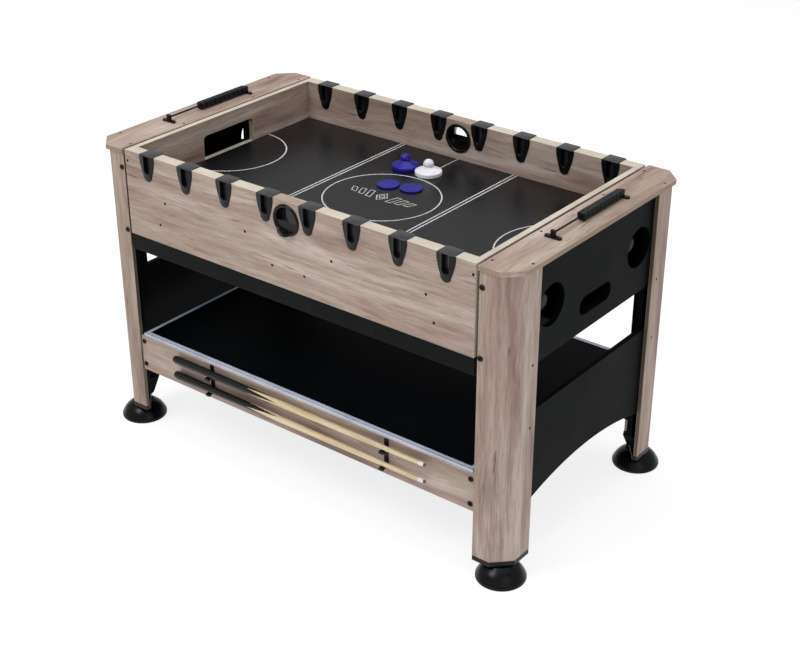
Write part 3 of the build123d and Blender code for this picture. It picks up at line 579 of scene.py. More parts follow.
# boards: copies of the CAD boards with worn, rounded edges and taped narrow faces
wood, black = "wood_laminate", "black_board"
boards = [
    # piece and CAD node, body, slot, sizes in mm (edge: rounding, tape: thickness of the board,
    # shortest: edges below this stay sharp) and finish: face, then tape
    ({"sideRail.front": "side_rail_front", "sideRail.rear": "side_rail_rear"}, "playing_box", wood,
     {"edge": 0.8, "tape": 34.0}, (oakAlongX, edgeTape)),
    ({"endWall.left": "end_wall_left", "endWall.right": "end_wall_right"}, "playing_box", wood,
     {"edge": 0.8, "tape": 16.0}, (oakAlongY, edgeTape)),
    ({"shelf.left": "end_shelf_left", "shelf.right": "end_shelf_right"}, "frame", wood,
     {"edge": 0.9, "tape": 13.0}, (oakAlongY, shelfTape)),
    ({"stretcher.front": "stretcher_front", "stretcher.rear": "stretcher_rear"}, "frame", wood,
     {"edge": 0.7, "tape": 15.0}, (oakAlongX, edgeTape)),
    ({"leg.frontLeft": "leg_front_left", "leg.frontRight": "leg_front_right", "leg.rearLeft": "leg_rear_left",
      "leg.rearRight": "leg_rear_right"}, "frame", wood, {"edge": 1.6, "tape": 12.0}, (oakUpright, legTapeWithPaintedShade)),
    ({"outerPanel.left": "end_panel_outer_left", "outerPanel.right": "end_panel_outer_right",
      "innerPanel.left": "end_panel_inner_left", "innerPanel.right": "end_panel_inner_right"}, "frame", black,
     {"edge": 0.7}, (blackMelamine,)),
    ({"apron.left": "end_apron_left", "apron.right": "end_apron_right"}, "frame", black,
     {"edge": 0.8}, (blackMelamine,)),
    ({"legBoards": "leg_inner_boards"}, "frame", black, {"edge": 0.6}, (blackMelamine,)),
    ({"footBlocks": "foot_blocks"}, "frame", black, {"edge": 0.8}, (blackMelamine,)),
    ({"crossBraces": "cross_braces"}, "playing_box", black, {"edge": 0.6}, (blackMelamine,)),
    ({"poolRails.long": "pool_rails_long", "poolRails.short": "pool_rails_short"}, "playing_box", black,
     {"edge": 1.4}, (paintedRail,)),
    ({"legCaps": "leg_caps"}, "frame", "black_plastic", {"edge": 1.8}, (mouldedBlack,)),
    ({"catchTrays": "catch_trays"}, "frame", "black_plastic", {"edge": 1.2}, (mouldedBlack,)),
    ({"cueClips": "cue_clips"}, "frame", "black_plastic", {"edge": 0.6, "shortest": 3.0}, (gripBlack,)),
    ({"scorerFrames": "scorer_frames"}, "frame", "black_plastic", {"edge": 0.7, "shortest": 4.0},
     (gripBlack,)),
    ({"stretcherBrackets": "stretcher_brackets"}, "frame", "dark_steel", {"edge": 0.5}, (blackOxide,)),
    ({"cushions": "cushions"}, "playing_box", "pool_cloth", {"edge": 2.0}, (tableCloth,)),
    ({"tennisTop": "tennis_top"}, "tennis_top", "tennis_board", {"edge": 0.5, "tape": 9.0, "rimTaped": True},
     (tennisPaint, borderPaint)),
]
for pieces, body, slot, size, finish in boards:
    for name, nodeName in pieces.items():
        addPiece(name, boardMesh(nodeName, size), body, finish, [nodeName])
print("boards rounded")

# CAD nodes that are shown as they are, each in its own finish
carriedOver = {
    "playfield": hockeySurface, "pool_bed": tableCloth, "pocket_cups": mouldedBlack,
    "pivot_bearings": gripBlack, "pivot_axles": brightSteel,
}
for nodeName, finish in carriedOver.items():
    cadNodes[nodeName].data.materials.clear()
    cadNodes[nodeName].data.materials.append(finish)

# rod seats: one half bushing, set out in four rows; local Y points out of the rail's middle
seat = {
    "topWidth": 55.0, "bottomWidth": 30.0, "drop": 72.0, "shoulder": 12.0,
    "slotWidth": 20.0, "slotDepth": 50.0, "liner": 2.0, "pitch": 140.0, "count": 8,
}
railLow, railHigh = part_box("side_rail_front")
railMiddle = (railLow.y + railHigh.y) / 2
railHalf = (railHigh.y - railLow.y) / 2
boxTop = railHigh.z


def seatPath():
    # matching points on the shield's outline and on the slot, from one top corner to the other
    half, low, slotHalf = seat["topWidth"] / 2, seat["bottomWidth"] / 2, seat["slotWidth"] / 2
    outer = [(-half, 0.0), (-half, -seat["shoulder"])]
    inner = [(-slotHalf, 0.0), (-slotHalf, -seat["shoulder"] * 0.8)]
    outerEnd, innerEnd = -seat["drop"] + low, -seat["slotDepth"] + slotHalf
    for i in range(1, 7):
        share = i / 6
        bow = 1.6 * math.sin(math.pi * share)     # the sides swell a little on their way down
        outer.append((-half + (half - low) * share - bow,
                      -seat["shoulder"] + (outerEnd + seat["shoulder"]) * share))
        inner.append((-slotHalf, inner[1][1] + (innerEnd - inner[1][1]) * share))
    for i in range(1, 9):
        angle = math.pi + math.pi / 2 * i / 8
        outer.append((low * math.cos(angle), outerEnd + low * math.sin(angle)))
        inner.append((slotHalf * math.cos(angle), innerEnd + slotHalf * math.sin(angle)))
    outer += [(-x, z) for x, z in outer[-2::-1]]
    inner += [(-x, z) for x, z in inner[-2::-1]]
    return outer, inner


def seatMesh():
    face = railHalf / mm
    # share across the band from slot to outline, and distance out from the rail's middle
    section = [(0.0, 0.2), (0.0, face + 2.4), (0.02, face + 3.3), (0.07, face + 3.9), (0.13, face + 3.9),
               (0.20, face + 3.2), (0.27, face + 2.8), (0.84, face + 2.6), (0.93, face + 2.3),
               (0.985, face + 1.6), (1.0, face + 0.8), (1.0, face)]
    outer, inner = seatPath()
    rings = []
    for (ox, oz), (ix, iz) in zip(outer, inner):
        wall = seat["liner"] / math.hypot(ox - ix, oz - iz)
        ring = [(share, y) for share, y in section] + [(wall, face), (wall, 0.2)]
        rings.append([Vector((ix + (ox - ix) * share, y, iz + (oz - iz) * share)) * mm for share, y in ring])
    return ringMesh(rings)


# cap plates: a pillowed plate over the rail with a round-ended tongue down the slot
cap = {
    "length": 50.0, "width": 42.0, "height": 2.5, "corner": 3.0,
    "tongueWidth": 19.6, "tongueDepth": 49.8, "tongueThick": 16.0,
}


def capMesh():
    height, half, root = cap["height"], cap["tongueWidth"] / 2, 0.01
    rings = []
    for inset, z in ((0.0, 0.0), (0.0, height - 1.1), (0.5, height - 0.3), (1.3, height)):
        outline = roundedOutline(cap["length"], cap["width"], cap["corner"], cap["corner"] - inset)
        rings.append([Vector((x, y, z)) * mm for x, y in outline])
    plate = ringMesh(rings)
    profile = [(-half, root), *arcPoints((0.0, -cap["tongueDepth"] + half), half, 180, 360, 12), (half, root)]
    tongueOnly = ringMesh([[Vector((x, y, z)) * mm for x, z in profile]
                           for y in (-cap["tongueThick"] / 2, cap["tongueThick"] / 2)])
    bm = bmesh.new()
    bm.from_mesh(plate)
    bm.from_mesh(tongueOnly)
    bm.to_mesh(plate)
    bm.free()
    return plate


def setOut(part, count, pitch, finish, starts):
    # rows of a part; pitch: X, Y and Z from one to the next; starts: first place and turn about Z
    return runTree(bpy.data.meshes.new("empty"), [(rowTree, {
        "Part": part, "Count": count, "First": tuple(first), "Pitch": pitch, "Turn": (0.0, 0.0, turn),
        "Finish": finish}) for first, turn in starts])


bushing = patternPart(seatMesh(), "bushingPattern")
capPlate = patternPart(capMesh(), "capPattern")
seatPitch = (seat["pitch"] * mm, 0.0, 0.0)
firstSeat = -seat["pitch"] * (seat["count"] - 1) / 2 * mm
nearSeat, farSeat = (firstSeat, railMiddle, boxTop), (firstSeat, -railMiddle, boxTop)
bushings = setOut(bushing, seat["count"], seatPitch, mouldedBlack, [
    (nearSeat, math.pi), (nearSeat, 0.0), (farSeat, 0.0), (farSeat, math.pi)])
addPiece("rodBushings", bushings, "playing_box", (), ["rod_bushings"])
caps = setOut(capPlate, seat["count"], seatPitch, capBlackWithPaintedReflection, [(nearSeat, 0.0), (farSeat, 0.0)])
addPiece("bushingCaps", caps, "playing_box", (), ["bushing_caps"])
print("rod seats set out:", 4 * seat["count"])

# scorer beads: a ribbed, waisted block on the rod
bead = {
    "width": 22.0, "length": 17.5, "height": 20.0, "pitch": 18.5, "inRow": 9,
    "bore": 5.1, "corner": 4.0, "ribs": 3,
}


def beadMesh():
    rings = []
    steps = 26
    for i in range(steps + 1):
        share = i / steps
        along = (share - 0.5) * bead["length"]
        rib = 0.93 + 0.07 * abs(math.sin(math.pi * share * bead["ribs"])) ** 0.6
        end = min(1.0, 0.86 + 0.14 * math.sin(math.pi / 2 * min(1.0, min(share, 1 - share) * 14)))
        size = rib * end
        outline = roundedOutline(bead["width"], bead["height"], bead["corner"], bead["corner"])
        rings.append([Vector((x * size, along, z * size)) * mm for x, z in outline])
    bore = [[Vector((x, y, z)) * mm for x, z in arcPoints((0.0, 0.0), bead["bore"] / 2, 0, 342, 19)]
            for y in (bead["length"] / 2, -bead["length"] / 2)]
    # the bore's two rings close the skin from the last rib back to the first
    return ringMesh(rings + bore + [rings[0]], closedEnds=False)


beadPart = patternPart(beadMesh(), "beadPattern")
for side in ("left", "right"):
    low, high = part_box(f"scorer_row_{side}")
    first = (low + high) / 2
    first.y = low.y + bead["length"] / 2 * mm
    rowBeads = setOut(beadPart, bead["inRow"], (0.0, bead["pitch"] * mm, 0.0), gripBlack, [(first, 0.0)])
    addPiece(f"scorerRow.{side}", rowBeads, f"scorer_row_{side}", (), [f"scorer_row_{side}"])
    low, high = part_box(f"scorer_lead_bead_{side}")
    leadBead = setOut(beadPart, 1, (0.0, 0.0, 0.0), gripBlack, [((low + high) / 2, 0.0)])
    addPiece(f"scorerLead.{side}", leadBead, f"scorer_lead_bead_{side}", (),
             [f"scorer_lead_bead_{side}"])
print("scorers threaded")

# screws and bolts: heads stood on the places of the CAD fasteners
fasteners = {
    "screwHead": 8.0, "screwDish": 0.5, "crossWidth": 1.3, "crossLength": 4.4, "crossDepth": 1.5,
    "boltHead": 15.0, "boltHeight": 4.4, "hexAcross": 5.2, "hexDepth": 2.4,
    "screwSunk": 0.15, "boltSunk": 4.5,    # from the outermost point in to where the head starts
    "seed": 11,
}


def screwHeadMesh():
    # countersunk head, flush with the board, with a driver cross pressed in
    half, long, deep = fasteners["crossWidth"] / 2, fasteners["crossLength"] / 2, fasteners["crossDepth"]
    cross = []
    for quarter in range(4):
        c, s = math.cos(math.pi / 2 * quarter), math.sin(math.pi / 2 * quarter)
        cross += [(x * c - y * s, x * s + y * c) for x, y in ((long, -half), (long, half), (half, half))]
    bearings = [math.atan2(y, x) for x, y in cross]
    rim = fasteners["screwHead"] / 2
    rings = []
    for radius, height in ((1.9, -2.6), (rim, -0.35), (rim, -0.05), (rim - 0.35, 0.10)):
        rings.append([Vector((radius * math.cos(a), radius * math.sin(a), height)) * mm for a in bearings])
    rings.append([Vector((x, y, -fasteners["screwDish"] * 0.3)) * mm for x, y in cross])
    rings.append([Vector((x * 0.62, y * 0.62, -deep)) * mm for x, y in cross])
    return ringMesh(rings)


def boltHeadMesh():
    # low button head, a hexagon socket in the middle
    rim, top = fasteners["boltHead"] / 2, fasteners["boltHeight"]
    profile = [(rim - 0.2, 0.0), (rim, 0.5), (rim - 0.3, 1.5), (rim - 1.3, 2.9), (rim - 2.9, 3.9),
               (rim - 4.3, top)]
    hexagon = fasteners["hexAcross"] / 2
    rings = []
    for radius, height in profile:
        rings.append([Vector((x, y, height)) * mm for x, y in arcPoints((0.0, 0.0), radius, 0, 345, 23)])
    for scale, height in ((1.0, top - 0.1), (0.94, top - fasteners["hexDepth"])):
        ring = []
        for k in range(24):
            angle = math.pi * k / 12
            reach = hexagon * scale / math.cos((angle + math.pi / 6) % (math.pi / 3) - math.pi / 6)
            ring.append(Vector((reach * math.cos(angle), reach * math.sin(angle), height)) * mm)
        rings.append(ring)
    return ringMesh(rings)


def marksOf(nodeName, sunk):
    # a mesh of one point for each fastener, where its head meets the board, with its outward aim
    mesh = bpy.data.meshes.new("marks")
    spots, aims = [], []
    for low, high in islands(nodeName):
        size, middle = high - low, (low + high) / 2
        axis = max(range(3), key=lambda i: size[i])
        out = 1.0 if axis == 2 or middle[axis] > 0 else -1.0
        spot = middle.copy()
        spot[axis] = (high[axis] if out > 0 else low[axis]) - out * sunk
        aim = Vector((0, 0, 0))
        aim[axis] = out
        spots.append(spot)
        aims.append(aim)
    mesh.from_pydata(spots, [], [])
    stored = mesh.attributes.new("aim", "FLOAT_VECTOR", "POINT")
    stored.data.foreach_set("vector", [c for aim in aims for c in aim])
    return mesh


screwPart = patternPart(screwHeadMesh(), "screwPattern")
boltPart = patternPart(boltHeadMesh(), "boltPattern")
for name, nodeName, body, part, sunk in (
        ("frameScrews", "frame_screws", "frame", screwPart, "screwSunk"),
        ("boxScrews", "box_screws", "playing_box", screwPart, "screwSunk"),
        ("frameBolts", "frame_bolts", "frame", boltPart, "boltSunk")):
    heads = runTree(marksOf(nodeName, fasteners[sunk] * mm), [(headTree, {
        "Head": part, "Size": 1.0, "Seed": fasteners["seed"], "Finish": blackOxide})])
    addPiece(name, heads, body, (), [nodeName])
for part in (bushing, capPlate, beadPart, screwPart, boltPart):
    bpy.data.objects.remove(part)
print("fasteners driven")

# ball entry cups: a rolled flange, a funnel through the rail and a pouring lip below the middle
cup = {"flange": 42.5, "bore": 33.0, "throat": 29.0, "wall": 3.0, "lipReach": 16.0,
       "lipSpread": 0.95, "rampDrop": 4.0, "rampEnd": 26.0}
entryLow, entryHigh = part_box("ball_entries")
entryHeight = (entryLow.z + entryHigh.z) / 2 / mm
railOut = abs(railMiddle) / mm


def cupMesh(sideSign):
    # profile: distance out from the rail's middle along Y, and radius; swept round the hole
    face = railHalf / mm
    flange, bore, throat, wall = cup["flange"], cup["bore"], cup["throat"], cup["wall"]
    profile = [(-face, flange - 1.0), (-face - 2.8, flange - 0.2), (-face - 4.4, flange - 2.0),
               (-face - 5.0, flange - 5.0), (-face - 3.8, bore + 1.6), (-face - 1.5, bore - 0.2),
               (-face + 5.0, bore - 1.6), (-2.0, throat), (4.0, throat), (face - 6.0, bore - 2.4),
               (face, bore - 0.6), (face + 3.4, bore + 1.4), (face + 4.9, bore + 4.4),
               (face + 4.6, flange - 3.2), (face + 2.8, flange - 0.4), (face, flange), (face, bore + wall),
               (face - 1.0, bore + wall), (-face + 1.0, bore + wall), (-face, bore + wall)]
    sides = 72
    rings = []
    for i in range(sides):
        angle = 2 * math.pi * i / sides
        fromBottom = math.atan2(math.sin(angle + math.pi / 2), math.cos(angle + math.pi / 2))
        pour = max(0.0, math.cos(min(math.pi / 2, abs(fromBottom) / cup["lipSpread"] * math.pi / 2)))
        pour = pour * pour * (3 - 2 * pour)
        ring = []
        for k, (out, radius) in enumerate(profile):
            if 9 <= k <= 12:
                # the funnel's outer end runs on into the lip, which is drawn out and a little down
                share = (k - 8) / 4
                out = out + pour * (cup["lipReach"] - 5.0) * share
                radius = radius + pour * (1.5 if k == 12 else -1.0 * share)
            elif k == 13:
                out, radius = out + pour * (cup["lipReach"] - 6.5), radius + pour * (bore + 3.8 - radius)
            elif k == 14:
                out, radius = out + pour * 2.2, radius + pour * (bore + 4.5 - radius) * 0.8
            ring.append(Vector((radius * math.cos(angle), sideSign * (out + railOut),
                                radius * math.sin(angle) + entryHeight)) * mm)
        rings.append(ring)
    return ringMesh(rings + [rings[0]], closedEnds=False)


def rampMesh(sideSign):
    # the bottom of the bore filled up to a slope that falls from the outer face to the inner one
    rings = []
    for step in range(9):
        share = step / 8
        out = (1 - 2 * share) * (railHalf / mm - 0.8)
        surface = -cup["rampDrop"] - (cup["rampEnd"] - cup["rampDrop"]) * share
        surface -= 2.0 * math.sin(math.pi * share)    # dished a little between its ends
        radius = cup["bore"] + 0.6
        spread = math.degrees(math.acos(-surface / radius))
        arc = arcPoints((0.0, entryHeight), radius, -90 - spread, -90 + spread, 24)
        rings.append([Vector((x, sideSign * (out + railOut), z)) * mm for x, z in arc])
    return ringMesh(rings)


cupBoth = bmesh.new()
for sideSign in (-1, 1):
    cupBoth.from_mesh(cupMesh(sideSign))
    cupBoth.from_mesh(rampMesh(sideSign))
addPiece("ballCups", weighNormals(meshFrom(cupBoth, "cups"), "cups"), "playing_box",
         (gripBlack,), ["ball_entries"])
print("ball cups turned")

# levelling feet: a rubber-rimmed dome on a threaded stem
foot = {"radius": 65.0, "neck": 30.0, "dome": 46.0, "stem": 6.0, "stemTop": 108.0, "thread": 1.75}


def footMesh():
    profile = [(0.0, 1.2), (50.0, 1.2), (53.0, 0.0), (62.5, 0.0), (64.4, 0.9), (foot["radius"], 2.6),
               (foot["radius"], 5.2), (64.3, 6.2), (64.3, 7.0), (foot["radius"], 7.8), (64.6, 9.2)]
    # the dome bulges 4 mm over the straight line from rim to neck
    for step in range(1, 15):
        share = step / 15
        radius = 64.6 + (foot["neck"] + 1.5 - 64.6) * share
        height = 9.2 + (foot["dome"] - 1.2 - 9.2) * share
        bulge = 4.2 * math.sin(math.pi * share)
        profile.append((radius + bulge * 0.72, height + bulge * 0.68))
    profile += [(foot["neck"] + 1.2, foot["dome"] - 0.6), (foot["neck"] - 0.6, foot["dome"]),
                (14.0, foot["dome"]), (13.5, foot["dome"] + 0.4), (foot["stem"], foot["dome"] + 0.4)]
    height = foot["dome"] + 1.0
    while height < foot["stemTop"] - 2.0:
        profile += [(foot["stem"] - 0.55, height + 0.2), (foot["stem"] - 0.02, height + foot["thread"] / 2)]
        height += foot["thread"]
    profile += [(foot["stem"] - 1.2, foot["stemTop"]), (0.0, foot["stemTop"])]
    return turned(profile, 72)


for fore in ("front", "rear"):
    for side in ("left", "right"):
        standPiece(f"foot.{fore}{side.capitalize()}", footMesh(), f"foot_{fore}_{side}",
                   gripBlack)
print("feet turned")

# lock pins: a pin in a lobed knob that shows through the hand holes; the pin is steel on the real table but
# here shares the knob's black finish
knob = {"radius": 23.0, "width": 24.0, "lobes": 10, "lobeDepth": 0.06, "pin": 7.0}


def knobWave(angle, height):
    if height < knobStart + 1.5:
        return 1.0
    return 1.0 - knob["lobeDepth"] * (0.5 - 0.5 * math.cos(knob["lobes"] * angle)) ** 1.5


for fore in ("front", "rear"):
    for side, outward in (("left", -1), ("right", 1)):
        low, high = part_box(f"lock_pin_{fore}_{side}")
        length = (high.x - low.x) / mm
        knobStart = length - knob["width"]
        profile = [(0.0, 0.0), (knob["pin"] - 2.0, 0.0), (knob["pin"], 2.2), (knob["pin"], knobStart),
                   (knob["radius"] - 4.0, knobStart), (knob["radius"] - 1.0, knobStart + 2.0)]
        profile += [(knob["radius"], knobStart + 5.0 + 2.2 * i) for i in range(6)]
        profile += [(knob["radius"] - 0.8, length - 4.4), (knob["radius"] - 2.6, length - 1.8),
                    (knob["radius"] - 5.5, length - 0.4), (knob["radius"] - 8.0, length),
                    (knob["radius"] - 9.0, length - 0.8), (0.0, length - 1.4)]
        mesh = turned(profile, 80, knobWave)
        turn = Matrix.Rotation(outward * math.pi / 2, 4, "Y")
        start = Vector((low.x if outward > 0 else high.x, (low.y + high.y) / 2, (low.z + high.z) / 2))
        mesh.transform(Matrix.Translation(start) @ turn)
        name = f"lockPin.{fore}{side.capitalize()}"
        addPiece(name, weighNormals(mesh, name), f"lock_pin_{fore}_{side}", (gripBlack,),
                 [f"lock_pin_{fore}_{side}"])
print("lock pins fitted")

# cues: lacquered maple, each turned by the cue tree and coloured along its own length
cueLook = {
    "shaft": "DDCCA9", "grain": "C6B188", "butt": "070606", "ferrule": "E6DDE0", "tip": "6B5348",
    "spliceStart": 0.277, "spliceEnd": 0.392, "points": 4, "ferruleLength": 0.019, "tipLength": 0.004,
    "tipRadius": 0.0055, "sides": 32, "rings": 90,    # lengths in metres
}


def cueLacquer(name, low, high, phase):
    # Lacquered maple with a stained butt: a clear gloss over pale wood, dark points spliced forward
    # into the shaft, a white ferrule and a chalked leather tip.
    material, tree, shader, place = startMaterial(name, {
        "Specular IOR Level": 0.3, "Coat Weight": 0.12, "Coat Roughness": 0.12})
    length = high.x - low.x
    buttEnd = Vector((low.x, (low.y + high.y) / 2, (low.z + high.z) / 2))
    local = addNode(tree, "ShaderNodeMapping", {"Vector": place, "Location": -buttEnd}, vector_type="POINT")
    parts = addNode(tree, "ShaderNodeSeparateXYZ", {0: local})
    around = addNode(tree, "ShaderNodeMath", {0: parts.outputs["Z"], 1: parts.outputs["Y"]},
                     operation="ARCTAN2")
    turns = addNode(tree, "ShaderNodeMath", {
        0: around, 1: cueLook["points"] / (2 * math.pi), 2: phase}, operation="MULTIPLY_ADD")
    # 0 in the middle of a point, 1 halfway to the next
    across = addNode(tree, "ShaderNodeMath", {0: turns, 1: 0.5}, operation="PINGPONG")
    share = addNode(tree, "ShaderNodeMapRange", {
        "Value": parts.outputs["X"], "From Min": cueLook["spliceStart"], "From Max": cueLook["spliceEnd"],
        "To Min": 0.5, "To Max": 0.0})
    inPoint = addNode(tree, "ShaderNodeMath", {0: across, 1: share}, operation="LESS_THAN")
    inButt = addNode(tree, "ShaderNodeMath", {0: parts.outputs["X"], 1: cueLook["spliceStart"]},
                     operation="LESS_THAN")
    dark = addNode(tree, "ShaderNodeMath", {0: inPoint, 1: inButt}, operation="MAXIMUM")
    # fibres 110 mm long and 2.4 mm wide
    streaks = addNode(tree, "ShaderNodeMapping", {"Vector": place, "Scale": (9.0, 420.0, 420.0)})
    fibre = addNode(tree, "ShaderNodeTexNoise", {"Vector": streaks, "Scale": 1.0, "Detail": 4.0})
    maple = setStops(addNode(tree, "ShaderNodeValToRGB", {"Fac": fibre}), [
        (0.38, linear(cueLook["grain"])), (0.55, linear(cueLook["shaft"]))])
    stained = addNode(tree, "ShaderNodeMix", {
        "Factor": dark, "A": maple, "B": linear(cueLook["butt"])}, data_type="RGBA")
    isFerrule = addNode(tree, "ShaderNodeMath", {
        0: parts.outputs["X"], 1: length - cueLook["ferruleLength"]}, operation="GREATER_THAN")
    ferruled = addNode(tree, "ShaderNodeMix", {
        "Factor": isFerrule, "A": stained, "B": linear(cueLook["ferrule"])}, data_type="RGBA")
    isTip = addNode(tree, "ShaderNodeMath", {
        0: parts.outputs["X"], 1: length - cueLook["tipLength"]}, operation="GREATER_THAN")
    tipped = addNode(tree, "ShaderNodeMix", {
        "Factor": isTip, "A": ferruled, "B": linear(cueLook["tip"])}, data_type="RGBA")
    rough = addNode(tree, "ShaderNodeMapRange", {
        "Value": fibre, "From Min": 0.3, "From Max": 0.7, "To Min": 0.28, "To Max": 0.42})
    finishShader(tree, shader, tipped, rough, fibre, 0.1, 0.2)
    return material


for cue, phase in (("cue_upper", 0.18), ("cue_lower", 0.62)):
    low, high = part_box(cue)
    middle = (low + high) / 2
    lacquer = cueLacquer(f"lacquered maple, {cue[4:]} cue", low, high, phase)
    shaft = runTree(bpy.data.meshes.new("empty"), [(cueTree, {
        "Start": (low.x, middle.y, middle.z), "End": (high.x, middle.y, middle.z),
        "Butt Radius": (high.z - low.z) / 2, "Tip Radius": cueLook["tipRadius"],
        "Sides": cueLook["sides"], "Rings": cueLook["rings"], "Finish": lacquer})])
    addPiece(cue.replace("_", "."), shaft, cue, (), [cue])
print("cues turned")

# pushers and pucks
pusher = {"radius": 38.0, "rim": 12.0, "knob": 15.0, "height": 44.0}


def pusherMesh():
    r, k, h = pusher["radius"], pusher["knob"], pusher["height"]
    profile = [(0.0, 1.6), (r - 6.0, 1.6), (r - 5.0, 0.0), (r - 1.6, 0.0), (r - 0.3, 0.8), (r, 2.2),
               (r, pusher["rim"] - 2.4), (r - 0.5, pusher["rim"] - 0.9), (r - 1.9, pusher["rim"])]
    for step in range(1, 9):
        share = step / 8
        radius = (r - 1.9) + (k - 1.6 - r + 1.9) * share
        height = pusher["rim"] + (h - k - 5.0 - pusher["rim"]) * share
        profile.append((radius - 2.2 * math.sin(math.pi * share), height + 0.4 * math.sin(math.pi * share)))
    profile += [(k - 2.2, h - k - 3.0), (k - 1.4, h - k - 1.4)]
    profile += arcPoints((0.0, h - k), k, -4, 90, 14)
    return turned(profile, 72)


def puckMesh(r, t):
    # radius and thickness in mm
    profile = [(0.0, 0.25), (r - 7.0, 0.25), (r - 6.2, 0.0), (r - 1.4, 0.0), (r - 0.3, 0.5), (r, 1.5),
               (r, t - 1.5), (r - 0.3, t - 0.5), (r - 1.4, t), (r - 6.2, t), (r - 7.0, t - 0.3),
               (0.0, t - 0.3)]
    return turned(profile, 72)


for node, finish, slot in (
        ("pusher_blue", bluePlastic, "blue_plastic"), ("pusher_white", whitePlastic, "white_plastic"),
        ("puck_one", bluePlastic, "blue_plastic"), ("puck_two", bluePlastic, "blue_plastic")):
    low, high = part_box(node)
    if node.startswith("pusher"):
        mesh = pusherMesh()
    else:
        mesh = puckMesh((high.x - low.x) / 2 / mm, (high.z - low.z) / mm)
    standPiece(node.replace("_", "."), mesh, node, finish)
print("pushers and pucks placed")

# printed lines of the hockey side and the border of the tennis top, in mm
field = {
    "line": 4.2, "fine": 2.6, "height": 0.05, "gap": 0.005, "stripeAt": 195.0, "stripeGap": 11.0,
    "circle": 159.5, "goalArc": 162.0, "goalAt": 558.0,
}
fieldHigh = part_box("playfield")[1]


def pathMesh(paths, z):
    # paths: lists of points in mm, with True for a closed one
    mesh = bpy.data.meshes.new("paths")
    spots, edges = [], []
    for points, closed in paths:
        base = len(spots)
        spots += [(x * mm, y * mm, z) for x, y in points]
        edges += [(base + i, base + i + 1) for i in range(len(points) - 1)]
        if closed:
            edges.append((base + len(points) - 1, base))
    mesh.from_pydata(spots, edges, [])
    return mesh


halfField = fieldHigh.y / mm - 0.5
thick = [(arcPoints((0, 0), field["circle"], 0, 357.5, 143), True)]
for end in (-1, 1):
    for side in (-1, 1):
        x = end * field["stripeAt"] + side * field["stripeGap"] / 2
        thick.append(([(x, -halfField), (x, halfField)], False))
    facing = 0 if end < 0 else 180
    goal = arcPoints((end * field["goalAt"], 0), field["goalArc"], facing - 89.6, facing + 89.6, 80)
    thick.append((goal, False))
fine = [([(0, side * (field["circle"] + 1)), (0, side * halfField)], False) for side in (-1, 1)]

# a plain mark for the middle: a diamond between two runs of slanted bars, in outline
mark = {
    "diamond": ((17, 24), (8, 11)),    # half widths and half heights of its two outlines
    "bars": 3, "firstBar": 32, "barPitch": 27, "barWidth": 15, "barHeight": 20, "barFall": 4, "lean": 6,
}
emblem = [([(-x, 0), (0, -y), (x, 0), (0, y)], True) for x, y in mark["diamond"]]
for side in (-1, 1):
    for bar in range(mark["bars"]):
        near = side * (mark["firstBar"] + bar * mark["barPitch"])
        far, lean = near + side * mark["barWidth"], side * mark["lean"]
        tall = mark["barHeight"] - bar * mark["barFall"]
        emblem.append(([(near - lean, -tall), (far - lean, -tall), (far + lean, tall), (near + lean, tall)],
                       True))
printed = bmesh.new()
inkHeight = field["height"] * mm
for paths, width in ((thick, field["line"]), (fine, field["fine"]), (emblem, field["line"] * 0.9)):
    printed.from_mesh(runTree(pathMesh(paths, fieldHigh.z + inkHeight / 2 + field["gap"] * mm), [(lineTree, {
        "Line Width": width * mm, "Line Height": inkHeight, "Finish": linePaint})]))
addPiece("fieldLines", meshFrom(printed, "fieldLines"), "playing_box", (linePaint,))

border = {"width": 15.0, "height": 0.06, "lift": 0.035, "edgeGap": 0.1}
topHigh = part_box("tennis_top")[1]
inset = border["width"] / 2 + border["edgeGap"]
edgeX, edgeY = topHigh.x / mm - inset, topHigh.y / mm - inset
corners = [(-edgeX, -edgeY), (edgeX, -edgeY), (edgeX, edgeY), (-edgeX, edgeY)]
borderLine = runTree(pathMesh([(corners, True)], topHigh.z + border["lift"] * mm), [(lineTree, {
    "Line Width": border["width"] * mm, "Line Height": border["height"] * mm, "Finish": borderPaint})])
addPiece("tennisBorder", borderLine, "tennis_top")
print("lines printed")
for mesh in [m for m in bpy.data.meshes if m.users == 0]:
    bpy.data.meshes.remove(mesh)

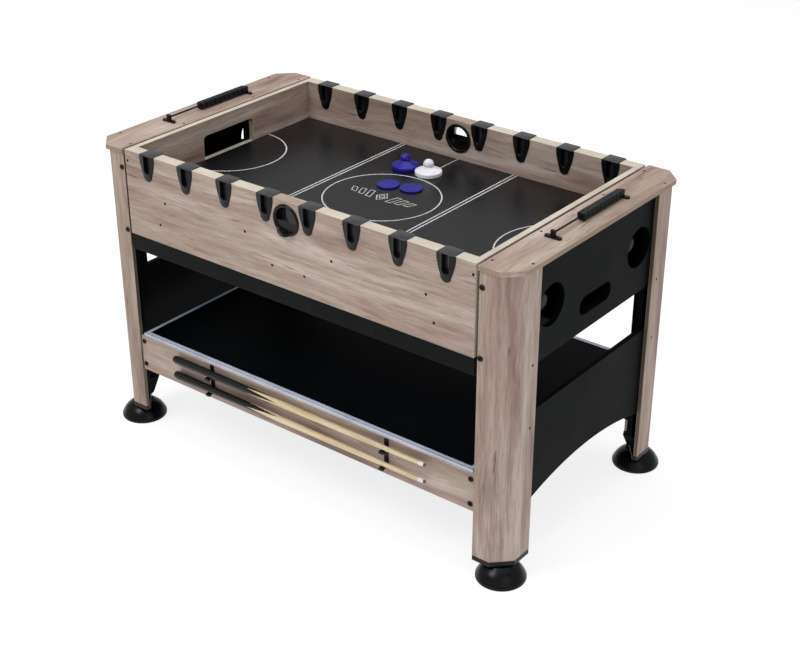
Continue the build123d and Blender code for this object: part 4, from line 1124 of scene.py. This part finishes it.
# floor, light and camera
studio = {
    "floorHalf": 9.0, "floorDrop": 0.2 * mm, "floorGrey": 0.30, "floorGlow": 0.80,
    "fill": 0.50,    # the white surroundings light the table this much, and show as plain white behind it
}
world = bpy.data.worlds.new("studio")
scene.world = world
world.use_nodes = True
worldLight = world.node_tree.nodes["Background"]
worldLight.inputs["Color"].default_value = (1.0, 1.0, 1.0, 1.0)
seen = addNode(world.node_tree, "ShaderNodeLightPath").outputs["Is Camera Ray"]
dimmed = addNode(world.node_tree, "ShaderNodeMapRange", {
    "Value": seen, "To Min": studio["fill"], "To Max": 1.0})
world.node_tree.links.new(dimmed.outputs[0], worldLight.inputs["Strength"])
scene.view_settings.view_transform = "Standard"

floorMesh = bpy.data.meshes.new("floor")
floorMesh.from_pydata([(x * studio["floorHalf"], y * studio["floorHalf"], -studio["floorDrop"])
                       for x, y in ((-1, -1), (1, -1), (1, 1), (-1, 1))], [], [(0, 1, 2, 3)])
addObject("floor", floorMesh)
floorFinish = startMaterial("white studio sweep", {
    "Base Color": [studio["floorGrey"]] * 3 + [1.0], "Roughness": 0.9, "Specular IOR Level": 0.1,
    "Emission Color": (1.0, 1.0, 1.0, 1.0), "Emission Strength": studio["floorGlow"]})[0]
floorMesh.materials.append(floorFinish)

lights = {
    "key": {"at": (-1.0, -2.6, 3.9), "aim": (0.0, 0.2, 0.75), "size": 1.8, "power": 74.0},
    "fill": {"at": (3.4, -1.8, 2.4), "aim": (0.1, 0.0, 0.5), "size": 2.4, "power": 10.0},
    "top": {"at": (0.3, 0.4, 3.8), "aim": (0.0, 0.0, 0.7), "size": 3.0, "power": 58.0},
}
for name, lamp in lights.items():
    data = bpy.data.lights.new(name, "AREA")
    data.shape = "SQUARE"
    data.size = lamp["size"]
    data.energy = lamp["power"]
    light = addObject(name, data)
    light.location = lamp["at"]
    light.rotation_euler = (Vector(lamp["aim"]) - Vector(lamp["at"])).to_track_quat("-Z", "Y").to_euler()

view = {"azimuth": 38.02, "elevation": 28.0, "distance": 4.101, "target": (0.061, 0.0, 0.372), "lens": 66.87}
azimuth, elevation = math.radians(view["azimuth"]), math.radians(view["elevation"])
away = Vector((math.sin(azimuth) * math.cos(elevation), -math.cos(azimuth) * math.cos(elevation),
               math.sin(elevation)))
cameraData = bpy.data.cameras.new("camera")
cameraData.lens = view["lens"]
cameraData.sensor_width = 36.0
camera = addObject("camera", cameraData)
camera.location = Vector(view["target"]) + away * view["distance"]
camera.rotation_euler = (-away).to_track_quat("-Z", "Y").to_euler()
scene.camera = camera
print("studio set")
